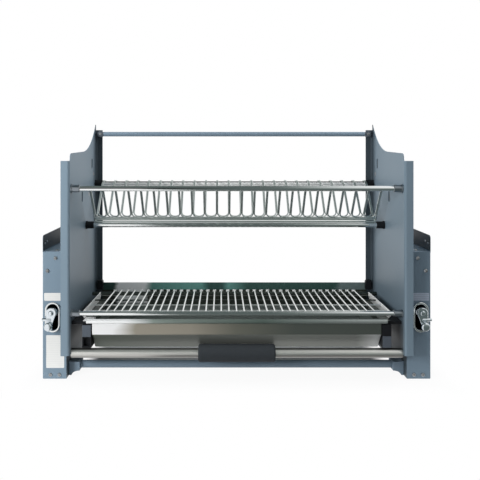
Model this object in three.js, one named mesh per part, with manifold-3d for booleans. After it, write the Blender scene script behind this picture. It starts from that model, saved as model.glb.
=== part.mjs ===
import * as THREE from 'three';
import { mergeVertices } from 'three/addons/utils/BufferGeometryUtils.js';
import Module from 'manifold-3d';

const wasm = await Module();
wasm.setup();

// A pull down dish rack for a wall cabinet. Millimetres, X to the right, Y to the back, Z up.
// Names that end in Back are distances behind the front plane of the side panels.
// Names that end in X are distances from the middle plane, the same to the left and to the right.

// Clearances and the overrun of cuts and joins
const seatGap = 0.3;
const runningGap = 0.45;
const overrun = 2;
const weldDepth = 0.35;

// Side panels
const panelDepth = 267;
const panelSheet = 1.5;
const panelX = 365.7;
const panelBottomZ = 60;
const panelFrontTopZ = 502;
const panelCrestZ = 507;
const panelCrestShare = 0.48;
const panelSweepZ = 511;
const panelSweepShare = 0.77;
const panelPeakZ = 580;
const panelPeakWidth = 7;
const panelCornerRadius = 6;
const panelFrontInset = 9;
const panelBendRadius = 5;
const frontFlangeWidth = 18.3;
const frontFlangeTopZ = 485;
const rearFlangeWidth = 17;
const rearFlangeTopZ = 566;
const upperSlotInset = 52;
const upperSlotZ = 478;
const lowerSlotBack = 114;
const lowerSlotZ = 400;
const panelSlotWidth = 12;
const panelSlotLength = 26;

// Mechanism boxes
const boxInnerX = 379;
const boxWidth = 53;
const boxOuterX = boxInnerX + boxWidth;
const boxFrontBack = 28.5;
const boxRearBack = 261;
const boxHeight = 283;
const boxSheet = 1.5;
const boxEarHeight = 36;
const boxEarRise = 4;
const boxEarRadius = 7;
const innerPlateThickness = 2;

// Slot and crank on the front of each box
const bezelInset = 23;
const bezelX = boxOuterX - bezelInset;
const bezelZ = 137.5;
const bezelWidth = 34;
const bezelLength = 67;
const bezelRim = 4.5;
const bezelDepth = 4;
const crankHubRise = 12;
const crankHubLength = 13;
const crankThrow = 29;
const crankLean = 9;
const crankArmWidth = 11;
const crankArmThickness = 4;
const crankKnobRadius = 9.5;
const crankKnobLength = 8;
const crankNubRadius = 3.5;
const crankNubLength = 8;
const crankSpindleRadius = 6;
const crankSpindleLength = 26;

// Lower tie tube and its foot brackets
const tieTubeRadius = 8.5;
const tieTubeWall = 1.2;
const tieTubeBack = 66;
const tieTubeZ = 20;
const footBracketReach = 24;
const footBracketDepth = 34;
const footBracketHeight = 32;
const footBracketSheet = 3;

// Swing arms: two parallel arms on each side
const armLength = 300;
const guideHeadInset = 34.854286;
const armLiftAngle = 120;
const armWidth = 26;
const armThickness = 5;
const armBoxOffset = 6;
const armX = boxInnerX - armBoxOffset;
const mainPivotBack = 105;
const mainPivotZ = 112;
const armSpacing = 35.001786;
const guidePivotRise = 60.624871;
const studRadius = 5;
const studHeadRadius = 7.5;
const studHeadThickness = 1.8;
const shaftRadius = 8;
const shaftHeadRadius = 11;
const shaftHeadThickness = 1.6;
const shaftReach = 19;
const shaftEndX = boxInnerX + shaftReach;
const bushWall = 2.6;
const bushFlangeRadius = 15;
const bushFlangeThickness = 1.5;
const stopRadius = 6;
const stopAlongArm = 90;

// Toothed sector, toothed bar and spring
const toothModule = 3;
const sectorPitchRadius = 24;
const pressureAngle = 25;
const toothAddendum = 2.7;
const toothDedendum = 3.6;
const toothBacklash = 0.45;
const sectorHubRadius = 13.5;
const gearInset = 10;
const gearX = boxInnerX + gearInset;
const gearWidth = 8;
const barBodyDepth = 8;
const barBelow = 14;
const barAbove = 66;
const guideWall = 3.2;
const guideHeight = 40;
const springRadius = 7;
const springAnchorZ = 264;
const springAnchorThickness = 8;
const springAnchorDepth = 22;

// Plate rack
const plateTubeRadius = 6;
const plateTubeWall = 1;
const plateFrontBack = 16;
const plateFrontZ = 424;
const plateRearInset = 15;
const plateRearBack = panelDepth - plateRearInset;
const plateRearZ = 425;
const plateLowerBack = 153;
const plateLowerZ = 328;
const separatorCount = 24;
const separatorPitch = 29.6;
const separatorWidth = 5.8;
const separatorThickness = 3;
const separatorFrontBendBack = 86;
const separatorRearRun = 20;
const separatorBendRadius = 35;
const pocketRadius = 4.5;
const hookDrop = 12;
const hookRadius = 3;
const loopRise = 11;
const loopRadius = 9;
const loopThickness = 2.9;
const loopRodRadius = 1.5;
const pocketRodRadius = 2;
const pocketRodX = 344;

// Tie bar between the panel peaks
const tieBarRadius = 6;
const tieBarWall = 1.2;
const tieBarZ = 555;
const tieBossRadius = 8;
const tieBossLength = 15;

// End sockets of the tubes
const socketReach = 19;
const socketWall = 2;
const socketFlange = 1.5;
const socketFlangeThickness = 3;
const socketBottom = 4;

// Bowl rack
const railRadius = 5;
const railWall = 1;
const railBack = 16;
const railZ = 149;
const bowlWireCount = 37;
const bowlWirePitch = 17.1;
const bowlWireThickness = 2.6;
const bowlWireZ = 150;
const bowlCrossThickness = 3.4;
const bowlCrossFrontBack = 44;
const bowlCrossMiddleBack = 92;
const bowlCrossRearBack = 139;
const bowlHookDrop = 5;
const bowlSideX = 341;
const bowlSideThickness = 2;
const bowlSideHeight = 19;
const bowlSideRearInset = 61;
const rearRailInset = 45;
const rearRailBack = panelDepth - rearRailInset;

// Guard strip behind the bowl rack
const guardBottomZ = 110;
const guardHeight = 53;
const guardThickness = 1.5;
const guardLip = 5;
const guardBendRadius = 2.5;
const guardX = 345;
const fittingTopZ = 171;
const fittingBottomZ = 147;
const fittingThickness = 14;
const fittingRadius = 6;

// Drip tray and its hangers
const trayX = 319;
const traySheet = 1.2;
const trayRimRadius = 5;
const trayRimOverhang = 12;
const trayRimZ = 132;
const trayFrontBack = 14;
const trayKneeZ = 103;
const trayFloorBack = 44;
const trayFloorZ = 66;
const trayRearInset = 59;
const trayRearBack = panelDepth - trayRearInset;
const trayEndLip = 21;
const hangerSideGap = 1.5;
const hangerWidth = 20;
const hangerBottomZ = 73;
const hangerShelf = 6;
const hangerFrontBack = 14;
const hangerRearInset = 62;

// Handle
const handleRadius = 10.5;
const handleWall = 1.2;
const handleBack = 20.5;
const handleZ = 60.5;
const gripRadius = 19;
const gripLength = 170;
const gripEndRadius = 5;

// Numbers of faces
const tubeSides = 10;
const boltSides = 12;
const bendSteps = 2;
const wireBendSteps = 1;
const wireSides = 6;
const cornerSteps = 3;

const frontY = -panelDepth / 2;
const rad = THREE.MathUtils.degToRad;
const xAxis = new THREE.Vector3(1, 0, 0);
const zAxis = new THREE.Vector3(0, 0, 1);

const paint = { color: 0x6e8291, roughness: 0.5, metalness: 0.15 };
const darkPaint = { color: 0x44525f, roughness: 0.5, metalness: 0.15 };
const chrome = { color: 0xe4e6e6, roughness: 0.12, metalness: 1 };
const stainless = { color: 0xb9b6ad, roughness: 0.3, metalness: 1 };
const steel = { color: 0x8b8d8c, roughness: 0.35, metalness: 0.9 };
const blackPlastic = { color: 0x1b1d20, roughness: 0.5, metalness: 0 };
const greyPlastic = { color: 0x575d66, roughness: 0.55, metalness: 0 };
const foam = { color: 0x3b3f43, roughness: 0.9, metalness: 0 };
const rubber = { color: 0x222222, roughness: 0.85, metalness: 0 };

const rack = new THREE.Group();
const fixedPart = new THREE.Group();
const basket = new THREE.Group();
rack.add(fixedPart, basket);

// Shape and solid helpers

function atBack(back) {
  return frontY + back;
}

function toSolid(geometry) {
  const bare = geometry.clone();
  bare.deleteAttribute('normal');
  bare.deleteAttribute('uv');
  const merged = mergeVertices(bare);
  const corners = merged.index.array;
  const kept = [];
  for (let i = 0; i < corners.length; i += 3) {
    const [a, b, c] = [corners[i], corners[i + 1], corners[i + 2]];
    if (a !== b && b !== c && c !== a) kept.push(a, b, c);
  }
  return new wasm.Manifold(new wasm.Mesh({
    numProp: 3,
    vertProperties: new Float32Array(merged.attributes.position.array),
    triVerts: new Uint32Array(kept),
  }));
}

function toGeometry(solid) {
  const mesh = solid.getMesh();
  const geometry = new THREE.BufferGeometry();
  geometry.setAttribute('position', new THREE.BufferAttribute(mesh.vertProperties, 3));
  geometry.setIndex(new THREE.BufferAttribute(mesh.triVerts, 1));
  return geometry;
}

function joined(...geometries) {
  const solids = geometries.map(toSolid);
  return toGeometry(solids.reduce((whole, solid) => whole.add(solid)));
}

function cut(geometry, ...cutters) {
  const solids = cutters.map(toSolid);
  return toGeometry(solids.reduce((whole, solid) => whole.subtract(solid), toSolid(geometry)));
}

function common(geometry, other) {
  return toGeometry(toSolid(geometry).intersect(toSolid(other)));
}

// A box between two opposite corners.
function block(x0, x1, y0, y1, z0, z1) {
  const box = new THREE.BoxGeometry(x1 - x0, y1 - y0, z1 - z0);
  return box.translate((x0 + x1) / 2, (y0 + y1) / 2, (z0 + z1) / 2);
}

// A shape drawn in Y and Z, drawn out along X.
function prismX(shape, x0, x1, curveSegments = cornerSteps) {
  const prism = new THREE.ExtrudeGeometry(shape, { depth: x1 - x0, bevelEnabled: false, curveSegments });
  const turn = new THREE.Matrix4().makeBasis(new THREE.Vector3(0, 1, 0), zAxis, xAxis);
  return prism.applyMatrix4(turn).translate(x0, 0, 0);
}

// A shape drawn in X and Z, drawn out along Y.
function prismY(shape, y0, y1, curveSegments = cornerSteps) {
  const prism = new THREE.ExtrudeGeometry(shape, { depth: y1 - y0, bevelEnabled: false, curveSegments });
  return prism.rotateX(Math.PI / 2).translate(0, y1, 0);
}

function rodX(radius, x0, x1, y, z, sides = tubeSides) {
  const rod = new THREE.CylinderGeometry(radius, radius, x1 - x0, sides);
  return rod.rotateZ(Math.PI / 2).translate((x0 + x1) / 2, y, z);
}

function rodY(radius, y0, y1, x, z, sides = tubeSides) {
  const rod = new THREE.CylinderGeometry(radius, radius, y1 - y0, sides);
  return rod.translate(x, (y0 + y1) / 2, z);
}

// A closed profile of radii and heights turned about X, heights running outwards.
function turnedX(profile, y, z, sides = tubeSides) {
  const points = [...profile, profile[0]].map(([radius, x]) => new THREE.Vector2(radius, x));
  return new THREE.LatheGeometry(points, sides).rotateZ(-Math.PI / 2).translate(0, y, z);
}

// A tube along X, open at both ends.
function tubeX(radius, wall, halfLength) {
  const bore = radius - wall;
  return turnedX([[bore, -halfLength], [radius, -halfLength], [radius, halfLength], [bore, halfLength]], 0, 0);
}

function polygon(points) {
  return new THREE.Shape(points.map(([u, v]) => new THREE.Vector2(u, v)));
}

// An upright oblong with round ends.
function oblong(PathClass, u, v, width, length) {
  const radius = width / 2;
  const straight = length / 2 - radius;
  const path = new PathClass();
  path.absarc(u, v + straight, radius, 0, Math.PI, false);
  path.absarc(u, v - straight, radius, Math.PI, 2 * Math.PI, false);
  path.closePath();
  return path;
}

// The same path with each inner corner turned into an arc.
function rounded(corners, radius, steps) {
  const path = [corners[0]];
  for (let i = 1; i < corners.length - 1; i += 1) {
    const corner = corners[i];
    const toLast = corners[i - 1].clone().sub(corner).normalize();
    const toNext = corners[i + 1].clone().sub(corner).normalize();
    const half = toLast.angleTo(toNext) / 2;
    const centre = toLast.clone().add(toNext).setLength(radius / Math.sin(half)).add(corner);
    const reach = radius / Math.tan(half);
    const start = toLast.multiplyScalar(reach).add(corner).sub(centre);
    const end = toNext.multiplyScalar(reach).add(corner).sub(centre);
    const turn = start.angleTo(end);
    for (let step = 0; step <= steps; step += 1) {
      const angle = turn * step / steps;
      const startShare = Math.sin(turn - angle) / Math.sin(turn);
      const endShare = Math.sin(angle) / Math.sin(turn);
      path.push(centre.clone().addScaledVector(start, startShare).addScaledVector(end, endShare));
    }
  }
  path.push(corners[corners.length - 1]);
  return path;
}

// A section drawn along a path that stays in one plane. Each section point is its distance
// along the plane's normal and its distance to the side of the path.
function swept(path, normal, section) {
  const positions = [];
  path.forEach((point, i) => {
    const last = path[Math.max(i - 1, 0)];
    const next = path[Math.min(i + 1, path.length - 1)];
    const leaving = (i < path.length - 1 ? next.clone().sub(point) : point.clone().sub(last)).normalize();
    const arriving = (i > 0 ? point.clone().sub(last) : next.clone().sub(point)).normalize();
    const along = leaving.clone().add(arriving).normalize();
    const side = new THREE.Vector3().crossVectors(along, normal).divideScalar(along.dot(leaving));
    section.forEach(([up, out]) => {
      positions.push(...point.clone().addScaledVector(normal, up).addScaledVector(side, out).toArray());
    });
  });
  const count = section.length;
  const index = [];
  for (let ring = 0; ring < path.length - 1; ring += 1) {
    for (let i = 0; i < count; i += 1) {
      const a = ring * count + i;
      const b = ring * count + (i + 1) % count;
      index.push(a, b, a + count, b, b + count, a + count);
    }
  }
  const end = (path.length - 1) * count;
  for (let i = 1; i < count - 1; i += 1) {
    index.push(0, i + 1, i, end, end + i, end + i + 1);
  }
  const geometry = new THREE.BufferGeometry();
  geometry.setAttribute('position', new THREE.Float32BufferAttribute(positions, 3));
  geometry.setIndex(index);
  return geometry;
}

// The section of a wire, bar or sheet: its width across the path's plane and its thickness in it.
function flatSection(width, thickness) {
  const [w, t] = [width / 2, thickness / 2];
  return [[w, t], [-w, t], [-w, -t], [w, -t]];
}

function inPlane(x, points) {
  return points.map(([back, z]) => new THREE.Vector3(x, atBack(back), z));
}

function addPiece(group, name, geometry, finish) {
  const mesh = new THREE.Mesh(geometry, new THREE.MeshStandardMaterial(finish));
  mesh.name = name;
  group.add(mesh);
  return mesh;
}

// Adds the piece as drawn on the right side, and its mirror image on the left.
function addPair(group, name, geometry, finish) {
  addPiece(group, `${name}_right`, geometry, finish);
  const mirrored = mergeVertices(geometry.clone().deleteAttribute('normal').deleteAttribute('uv'));
  mirrored.scale(-1, 1, 1);
  const index = mirrored.index.array;
  for (let i = 0; i < index.length; i += 3) {
    [index[i], index[i + 1]] = [index[i + 1], index[i]];
  }
  addPiece(group, `${name}_left`, mirrored, finish);
}

// Places of the arm pivots, in distance behind the front plane and in height

// The arms lean back so far that the guide arm's upper pivot lies at its inset from the panel's rear.
const guideHeadRise = armLength + guidePivotRise;
const guideHeadBack = panelDepth - guideHeadInset - mainPivotBack;
const armLean = Math.asin(guideHeadBack / Math.hypot(guideHeadRise, armSpacing)) - Math.atan(armSpacing / guideHeadRise);
const guidePivotBack = mainPivotBack + armSpacing * Math.cos(armLean) + guidePivotRise * Math.sin(armLean);
const guidePivotZ = mainPivotZ + guidePivotRise * Math.cos(armLean) - armSpacing * Math.sin(armLean);
const armStepBack = armLength * Math.sin(armLean);
const armStepZ = armLength * Math.cos(armLean);
const webOuterX = panelX + panelSheet / 2;
const webInnerX = panelX - panelSheet / 2;
const armInnerX = armX - armThickness / 2;
const armOuterX = armX + armThickness / 2;

// Side panel: folded sheet cut to the outline of the panel

function panelOutline() {
  const outline = new THREE.Shape();
  const rearY = -frontY;
  outline.moveTo(frontY, panelBottomZ);
  outline.lineTo(rearY, panelBottomZ);
  outline.lineTo(rearY, panelPeakZ - panelCornerRadius);
  outline.quadraticCurveTo(rearY, panelPeakZ, rearY - panelCornerRadius, panelPeakZ);
  outline.lineTo(rearY - panelPeakWidth, panelPeakZ);
  const sweepY = atBack(panelDepth * panelSweepShare);
  outline.quadraticCurveTo(sweepY, panelSweepZ, atBack(panelDepth * panelCrestShare), panelCrestZ);
  const insetY = frontY + panelFrontInset;
  outline.lineTo(insetY + panelCornerRadius, panelFrontTopZ);
  outline.quadraticCurveTo(insetY, panelFrontTopZ, insetY, panelFrontTopZ - panelCornerRadius);
  outline.quadraticCurveTo(insetY, frontFlangeTopZ, frontY, frontFlangeTopZ);
  outline.closePath();
  outline.holes.push(oblong(THREE.Path, atBack(panelDepth - upperSlotInset), upperSlotZ, panelSlotWidth, panelSlotLength));
  outline.holes.push(oblong(THREE.Path, atBack(lowerSlotBack), lowerSlotZ, panelSlotWidth, panelSlotLength));
  return outline;
}

function pivotStud(back, z) {
  const headX = armOuterX + runningGap;
  const y = atBack(back);
  const stem = rodX(studRadius, webOuterX - panelSheet / 2, headX + weldDepth, y, z, boltSides);
  return joined(stem, rodX(studHeadRadius, headX, headX + studHeadThickness, y, z, boltSides));
}

function sidePanel() {
  const foldY = frontY + panelSheet / 2;
  const midZ = (panelBottomZ + panelPeakZ) / 2;
  const folds = [
    new THREE.Vector3(panelX + frontFlangeWidth, foldY, midZ),
    new THREE.Vector3(panelX, foldY, midZ),
    new THREE.Vector3(panelX, -foldY, midZ),
    new THREE.Vector3(panelX - rearFlangeWidth, -foldY, midZ),
  ];
  const section = flatSection(panelPeakZ - panelBottomZ + overrun, panelSheet);
  const blank = swept(rounded(folds, panelBendRadius, bendSteps), zAxis, section);
  const reach = frontFlangeWidth + rearFlangeWidth;
  const trimmed = common(blank, prismX(panelOutline(), panelX - reach, panelX + reach));
  const frontY1 = frontY + panelBendRadius + panelSheet;
  const rearX0 = panelX - rearFlangeWidth - overrun;
  const frontNotch = block(
    webOuterX + panelBendRadius, panelX + reach, frontY - overrun, frontY1, frontFlangeTopZ, panelPeakZ);
  const rearNotch = block(
    rearX0, webInnerX - panelBendRadius, -frontY1, -frontY + overrun, rearFlangeTopZ, panelPeakZ + overrun);
  const studs = [
    pivotStud(mainPivotBack + armStepBack, mainPivotZ + armStepZ),
    pivotStud(guidePivotBack + armStepBack, guidePivotZ + armStepZ),
  ];
  return joined(cut(trimmed, frontNotch, rearNotch), ...studs);
}

addPair(basket, 'side_panel', sidePanel(), paint);

// Mechanism box: front wall, outer side plate with its ear, floor, top and rear wall

function boxEar() {
  const [front, rear] = [atBack(boxFrontBack), atBack(boxRearBack)];
  const ear = new THREE.Shape();
  ear.moveTo(front, 0);
  ear.lineTo(rear, 0);
  ear.lineTo(rear, boxHeight + boxEarHeight + boxEarRise);
  ear.lineTo(front + boxEarRadius, boxHeight + boxEarHeight);
  ear.quadraticCurveTo(front, boxHeight + boxEarHeight, front, boxHeight + boxEarHeight - boxEarRadius);
  ear.closePath();
  return prismX(ear, boxOuterX - boxSheet, boxOuterX);
}

function mechanismBox() {
  const [front, rear] = [atBack(boxFrontBack), atBack(boxRearBack)];
  const outside = block(boxInnerX, boxOuterX, front, rear, 0, boxHeight);
  const inside = block(
    boxInnerX - overrun, boxOuterX - boxSheet, front + boxSheet, rear - boxSheet, boxSheet, boxHeight - boxSheet);
  const slotHole = oblong(
    THREE.Shape, bezelX, bezelZ, bezelWidth - 2 * bezelRim, bezelLength - 2 * bezelRim);
  return joined(cut(outside, inside, prismY(slotHole, front - overrun, front + boxSheet + overrun)), boxEar());
}

addPair(fixedPart, 'mechanism_box', mechanismBox(), paint);

// Inner plate with the fixed stud of the guide arm, and the hole for the bush

const bushOuterRadius = shaftRadius + runningGap + bushWall;
const plateOuterX = boxInnerX + innerPlateThickness;

function fixedStud() {
  const [y, z] = [atBack(guidePivotBack), guidePivotZ];
  const headX = armInnerX - runningGap;
  const stem = rodX(studRadius, headX - weldDepth, plateOuterX, y, z, boltSides);
  return joined(stem, rodX(studHeadRadius, headX - studHeadThickness, headX, y, z, boltSides));
}

function innerPlate() {
  const front = atBack(boxFrontBack) + boxSheet + seatGap;
  const rear = atBack(boxRearBack) - boxSheet - seatGap;
  const plate = block(boxInnerX, plateOuterX, front, rear, boxSheet + seatGap, boxHeight - boxSheet - seatGap);
  const hole = rodX(
    bushOuterRadius + seatGap, boxInnerX - overrun, plateOuterX + overrun, atBack(mainPivotBack), mainPivotZ,
    boltSides);
  return joined(cut(plate, hole), fixedStud());
}

addPair(fixedPart, 'inner_plate', innerPlate(), darkPaint);

function shaftBush() {
  const bore = shaftRadius + runningGap;
  const mouthX = boxInnerX;
  const flangeX = plateOuterX + seatGap;
  return turnedX([
    [bore, mouthX], [bushOuterRadius, mouthX], [bushOuterRadius, flangeX], [bushFlangeRadius, flangeX],
    [bushFlangeRadius, flangeX + bushFlangeThickness], [bore, flangeX + bushFlangeThickness],
  ], atBack(mainPivotBack), mainPivotZ, boltSides);
}

addPair(fixedPart, 'shaft_bush', shaftBush(), steel);

// Rubber stop that the guide arm leans on at rest

function armStop() {
  const side = armWidth / 2 + seatGap + stopRadius;
  const back = guidePivotBack + stopAlongArm * Math.sin(armLean) + side * Math.cos(armLean);
  const z = guidePivotZ + stopAlongArm * Math.cos(armLean) - side * Math.sin(armLean);
  return rodX(stopRadius, armInnerX, boxInnerX - seatGap, atBack(back), z, boltSides);
}

addPair(fixedPart, 'arm_stop', armStop(), rubber);

// Swing arms

function swingArm(back, z, footBore) {
  const outline = new THREE.Shape();
  const radius = armWidth / 2;
  outline.absarc(0, 0, radius, Math.PI, 2 * Math.PI, false);
  outline.absarc(0, armLength, radius, 0, Math.PI, false);
  outline.closePath();
  const footHole = new THREE.Path();
  footHole.absarc(0, 0, footBore, 0, 2 * Math.PI, true);
  const topHole = new THREE.Path();
  topHole.absarc(0, armLength, studRadius + runningGap, 0, 2 * Math.PI, true);
  outline.holes.push(footHole, topHole);
  const arm = prismX(outline, armInnerX, armOuterX, boltSides / 2);
  return arm.rotateX(-armLean).translate(0, atBack(back), z);
}

addPair(fixedPart, 'main_arm', swingArm(mainPivotBack, mainPivotZ, shaftRadius + seatGap), steel);
addPair(fixedPart, 'guide_arm', swingArm(guidePivotBack, guidePivotZ, studRadius + runningGap), steel);

// Main shaft with its head, fast in the arm and in the sector

function mainShaft() {
  const headX = armInnerX - seatGap;
  const [y, z] = [atBack(mainPivotBack), mainPivotZ];
  const stem = rodX(shaftRadius, headX - weldDepth, shaftEndX, y, z, boltSides);
  return joined(stem, rodX(shaftHeadRadius, headX - shaftHeadThickness, headX, y, z, boltSides));
}

addPair(fixedPart, 'main_shaft', mainShaft(), steel);

// Toothed sector and toothed bar with involute teeth

const toothPitch = Math.PI * toothModule;
const toothAngle = toothPitch / sectorPitchRadius;
const baseRadius = sectorPitchRadius * Math.cos(rad(pressureAngle));
const sweepAngle = rad(armLiftAngle);

function involute(angle) {
  return Math.tan(angle) - angle;
}

// Half the angle that a tooth takes at one radius.
function halfTooth(radius) {
  const angle = Math.acos(Math.min(baseRadius / radius, 1));
  const atPitch = toothAngle / 4 - toothBacklash / (4 * sectorPitchRadius);
  return atPitch + involute(rad(pressureAngle)) - involute(angle);
}

function toothedSector() {
  const root = sectorPitchRadius - toothDedendum;
  const tip = sectorPitchRadius + toothAddendum;
  const flank = [root, baseRadius, sectorPitchRadius, tip];
  const teeth = Math.ceil(sweepAngle / toothAngle) + 2;
  const points = [];
  for (let tooth = -1; tooth < teeth - 1; tooth += 1) {
    const middle = Math.PI - tooth * toothAngle;
    flank.forEach((radius) => points.push([radius, middle + halfTooth(Math.max(radius, baseRadius))]));
    flank.toReversed().forEach((radius) => {
      points.push([radius, middle - halfTooth(Math.max(radius, baseRadius))]);
    });
  }
  points.reverse();
  const outline = points.map(([radius, angle]) => [radius * Math.cos(angle), radius * Math.sin(angle)]);
  const x0 = gearX - gearWidth / 2;
  const x1 = gearX + gearWidth / 2;
  const sector = prismX(polygon([[0, 0], ...outline]), x0, x1);
  const hub = rodX(sectorHubRadius, x0, x1, 0, 0, boltSides);
  const bore = rodX(shaftRadius + seatGap, x0 - overrun, x1 + overrun, 0, 0, boltSides);
  return cut(joined(sector, hub), bore).translate(0, atBack(mainPivotBack), mainPivotZ);
}

addPair(fixedPart, 'toothed_sector', toothedSector(), steel);

const barPitchBack = mainPivotBack - sectorPitchRadius;
const barRootBack = barPitchBack - toothDedendum;
const barTipBack = barPitchBack + toothAddendum;
const barFrontBack = barRootBack - barBodyDepth;
const barTopZ = mainPivotZ + barAbove;

function toothedBar() {
  const slope = Math.tan(rad(pressureAngle));
  const halfPitchLine = toothPitch / 4 - toothBacklash / 4;
  const points = [];
  const lowest = mainPivotZ - barBelow;
  const teeth = Math.floor((barAbove - toothPitch / 2) / toothPitch);
  for (let tooth = 0; tooth <= teeth; tooth += 1) {
    const middle = mainPivotZ + toothPitch * (tooth - 1 / 2);
    const halfRoot = halfPitchLine + toothDedendum * slope;
    const halfTip = halfPitchLine - toothAddendum * slope;
    points.push([barRootBack, middle - halfRoot], [barTipBack, middle - halfTip]);
    points.push([barTipBack, middle + halfTip], [barRootBack, middle + halfRoot]);
  }
  const outline = [[barFrontBack, barTopZ], [barFrontBack, lowest], [barRootBack, lowest], ...points,
    [barRootBack, barTopZ]];
  const shape = polygon(outline.map(([back, z]) => [atBack(back), z]));
  return prismX(shape, gearX - gearWidth / 2, gearX + gearWidth / 2);
}

addPair(fixedPart, 'toothed_bar', toothedBar(), steel);

// Guide of the toothed bar, a channel on the inner plate

function barGuide() {
  const x0 = plateOuterX + seatGap;
  const x1 = gearX + gearWidth / 2 + runningGap + guideWall;
  const y0 = atBack(barFrontBack) - runningGap - guideWall;
  const y1 = atBack(barRootBack) - runningGap;
  const z0 = mainPivotZ - barBelow + overrun;
  const outside = block(x0, x1, y0, y1, z0, z0 + guideHeight);
  const channel = block(
    gearX - gearWidth / 2 - runningGap, gearX + gearWidth / 2 + runningGap, atBack(barFrontBack) - runningGap,
    y1 + overrun, z0 - overrun, z0 + guideHeight + overrun);
  return cut(outside, channel);
}

addPair(fixedPart, 'bar_guide', barGuide(), greyPlastic);

// Tension spring between the toothed bar and its anchor

const springBack = barFrontBack + barBodyDepth / 2;

addPair(fixedPart, 'lift_spring', rodY(
  springRadius, barTopZ + seatGap, springAnchorZ - seatGap, gearX, 0, tubeSides,
).rotateX(Math.PI / 2).translate(0, atBack(springBack), 0), steel);

addPair(fixedPart, 'spring_anchor', block(
  plateOuterX + seatGap, gearX + springRadius, atBack(springBack) - springAnchorDepth / 2,
  atBack(springBack) + springAnchorDepth / 2, springAnchorZ, springAnchorZ + springAnchorThickness), steel);

// Oblong bezel on the front of the box

function slotBezel() {
  const ring = oblong(THREE.Shape, bezelX, bezelZ, bezelWidth, bezelLength);
  ring.holes.push(oblong(THREE.Path, bezelX, bezelZ, bezelWidth - 2 * bezelRim, bezelLength - 2 * bezelRim));
  const back = boxFrontBack - seatGap;
  return prismY(ring, atBack(back - bezelDepth), atBack(back), cornerSteps * 2);
}

addPair(fixedPart, 'slot_bezel', slotBezel(), chrome);

// Crank: hub and spindle in the slot, arm, round knob and a small nub

const crankHubRadius = bezelWidth / 2 - bezelRim - runningGap;

function adjusterCrank() {
  const hubZ = bezelZ + crankHubRise;
  const lean = rad(crankLean);
  const knobX = bezelX + crankThrow * Math.sin(lean);
  const knobZ = hubZ - crankThrow * Math.cos(lean);
  const hubBack = boxFrontBack + boxSheet;
  const armBack = hubBack - crankHubLength;
  const knobBack = armBack - crankArmThickness;
  const hub = rodY(crankHubRadius, atBack(armBack), atBack(hubBack), bezelX, hubZ, boltSides);
  const spindleEnd = hubBack + crankSpindleLength;
  const spindle = rodY(crankSpindleRadius, atBack(hubBack - overrun), atBack(spindleEnd), bezelX, hubZ);
  const web = new THREE.Shape();
  const radius = crankArmWidth / 2;
  web.absarc(0, 0, crankHubRadius, 0, Math.PI, false);
  web.absarc(0, -crankThrow, radius, Math.PI, 2 * Math.PI, false);
  web.closePath();
  const arm = prismY(web, atBack(knobBack), atBack(armBack) + weldDepth);
  arm.applyMatrix4(new THREE.Matrix4().makeRotationY(-lean)).translate(bezelX, 0, hubZ);
  const knob = rodY(crankKnobRadius, atBack(knobBack - crankKnobLength), atBack(armBack), knobX, knobZ, boltSides);
  const nubZ = (hubZ + knobZ) / 2;
  const nubBack = (knobBack + armBack) / 2;
  const nub = rodX(crankNubRadius, bezelX, bezelX + crankHubRadius + crankNubLength, atBack(nubBack), nubZ);
  return joined(hub, spindle, arm, knob, nub);
}

addPair(fixedPart, 'adjuster_crank', adjusterCrank(), chrome);

// Lower tie tube and its foot brackets

const bracketInnerX = boxInnerX - seatGap - footBracketReach;

const tieTubeX = boxInnerX - seatGap - footBracketSheet - seatGap;

addPiece(fixedPart, 'lower_tie_tube', tubeX(tieTubeRadius, tieTubeWall, tieTubeX), paint)
  .position.set(0, atBack(tieTubeBack), tieTubeZ);

function footBracket() {
  const outerX = boxInnerX - seatGap;
  const gusset = polygon([
    [bracketInnerX, 0], [outerX, 0], [outerX, footBracketHeight],
    [outerX - footBracketSheet, footBracketHeight], [bracketInnerX, footBracketSheet],
  ]);
  const y0 = atBack(tieTubeBack) - footBracketDepth / 2;
  const y1 = y0 + footBracketDepth;
  const blank = prismY(gusset, y0, y1);
  const bore = rodX(
    tieTubeRadius + seatGap, bracketInnerX - overrun, outerX - footBracketSheet, atBack(tieTubeBack), tieTubeZ);
  return cut(blank, bore);
}

addPair(fixedPart, 'foot_bracket', footBracket(), blackPlastic);

// End sockets: a cup on the web that holds the end of a tube

function tubeSocket(tubeRadius, back, z) {
  const bore = tubeRadius + seatGap;
  const outer = bore + socketWall;
  const baseX = webInnerX - seatGap;
  const mouthX = baseX - socketReach;
  return turnedX([
    [0, baseX - socketBottom], [bore, baseX - socketBottom], [bore, mouthX], [outer, mouthX],
    [outer, baseX - socketFlangeThickness], [outer + socketFlange, baseX - socketFlangeThickness],
    [outer + socketFlange, baseX], [0, baseX],
  ], atBack(back), z, tubeSides);
}

const tubeEndX = webInnerX - seatGap - socketBottom - seatGap;

function addTube(name, radius, wall, back, z, finish) {
  addPiece(basket, name, tubeX(radius, wall, tubeEndX), finish).position.set(0, atBack(back), z);
}

addTube('plate_front_tube', plateTubeRadius, plateTubeWall, plateFrontBack, plateFrontZ, chrome);
addTube('plate_rear_tube', plateTubeRadius, plateTubeWall, plateRearBack, plateRearZ, chrome);
addTube('plate_lower_tube', plateTubeRadius, plateTubeWall, plateLowerBack, plateLowerZ, chrome);
addTube('bowl_front_rail', railRadius, railWall, railBack, railZ, chrome);

addPair(basket, 'plate_front_socket', tubeSocket(plateTubeRadius, plateFrontBack, plateFrontZ), greyPlastic);
addPair(basket, 'plate_rear_socket', tubeSocket(plateTubeRadius, plateRearBack, plateRearZ), blackPlastic);
addPair(basket, 'plate_lower_socket', tubeSocket(plateTubeRadius, plateLowerBack, plateLowerZ), blackPlastic);
addPair(basket, 'bowl_rail_socket', tubeSocket(railRadius, railBack, railZ), greyPlastic);

// Plate rack: double separator wires from tube to tube, with round loops between them

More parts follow.
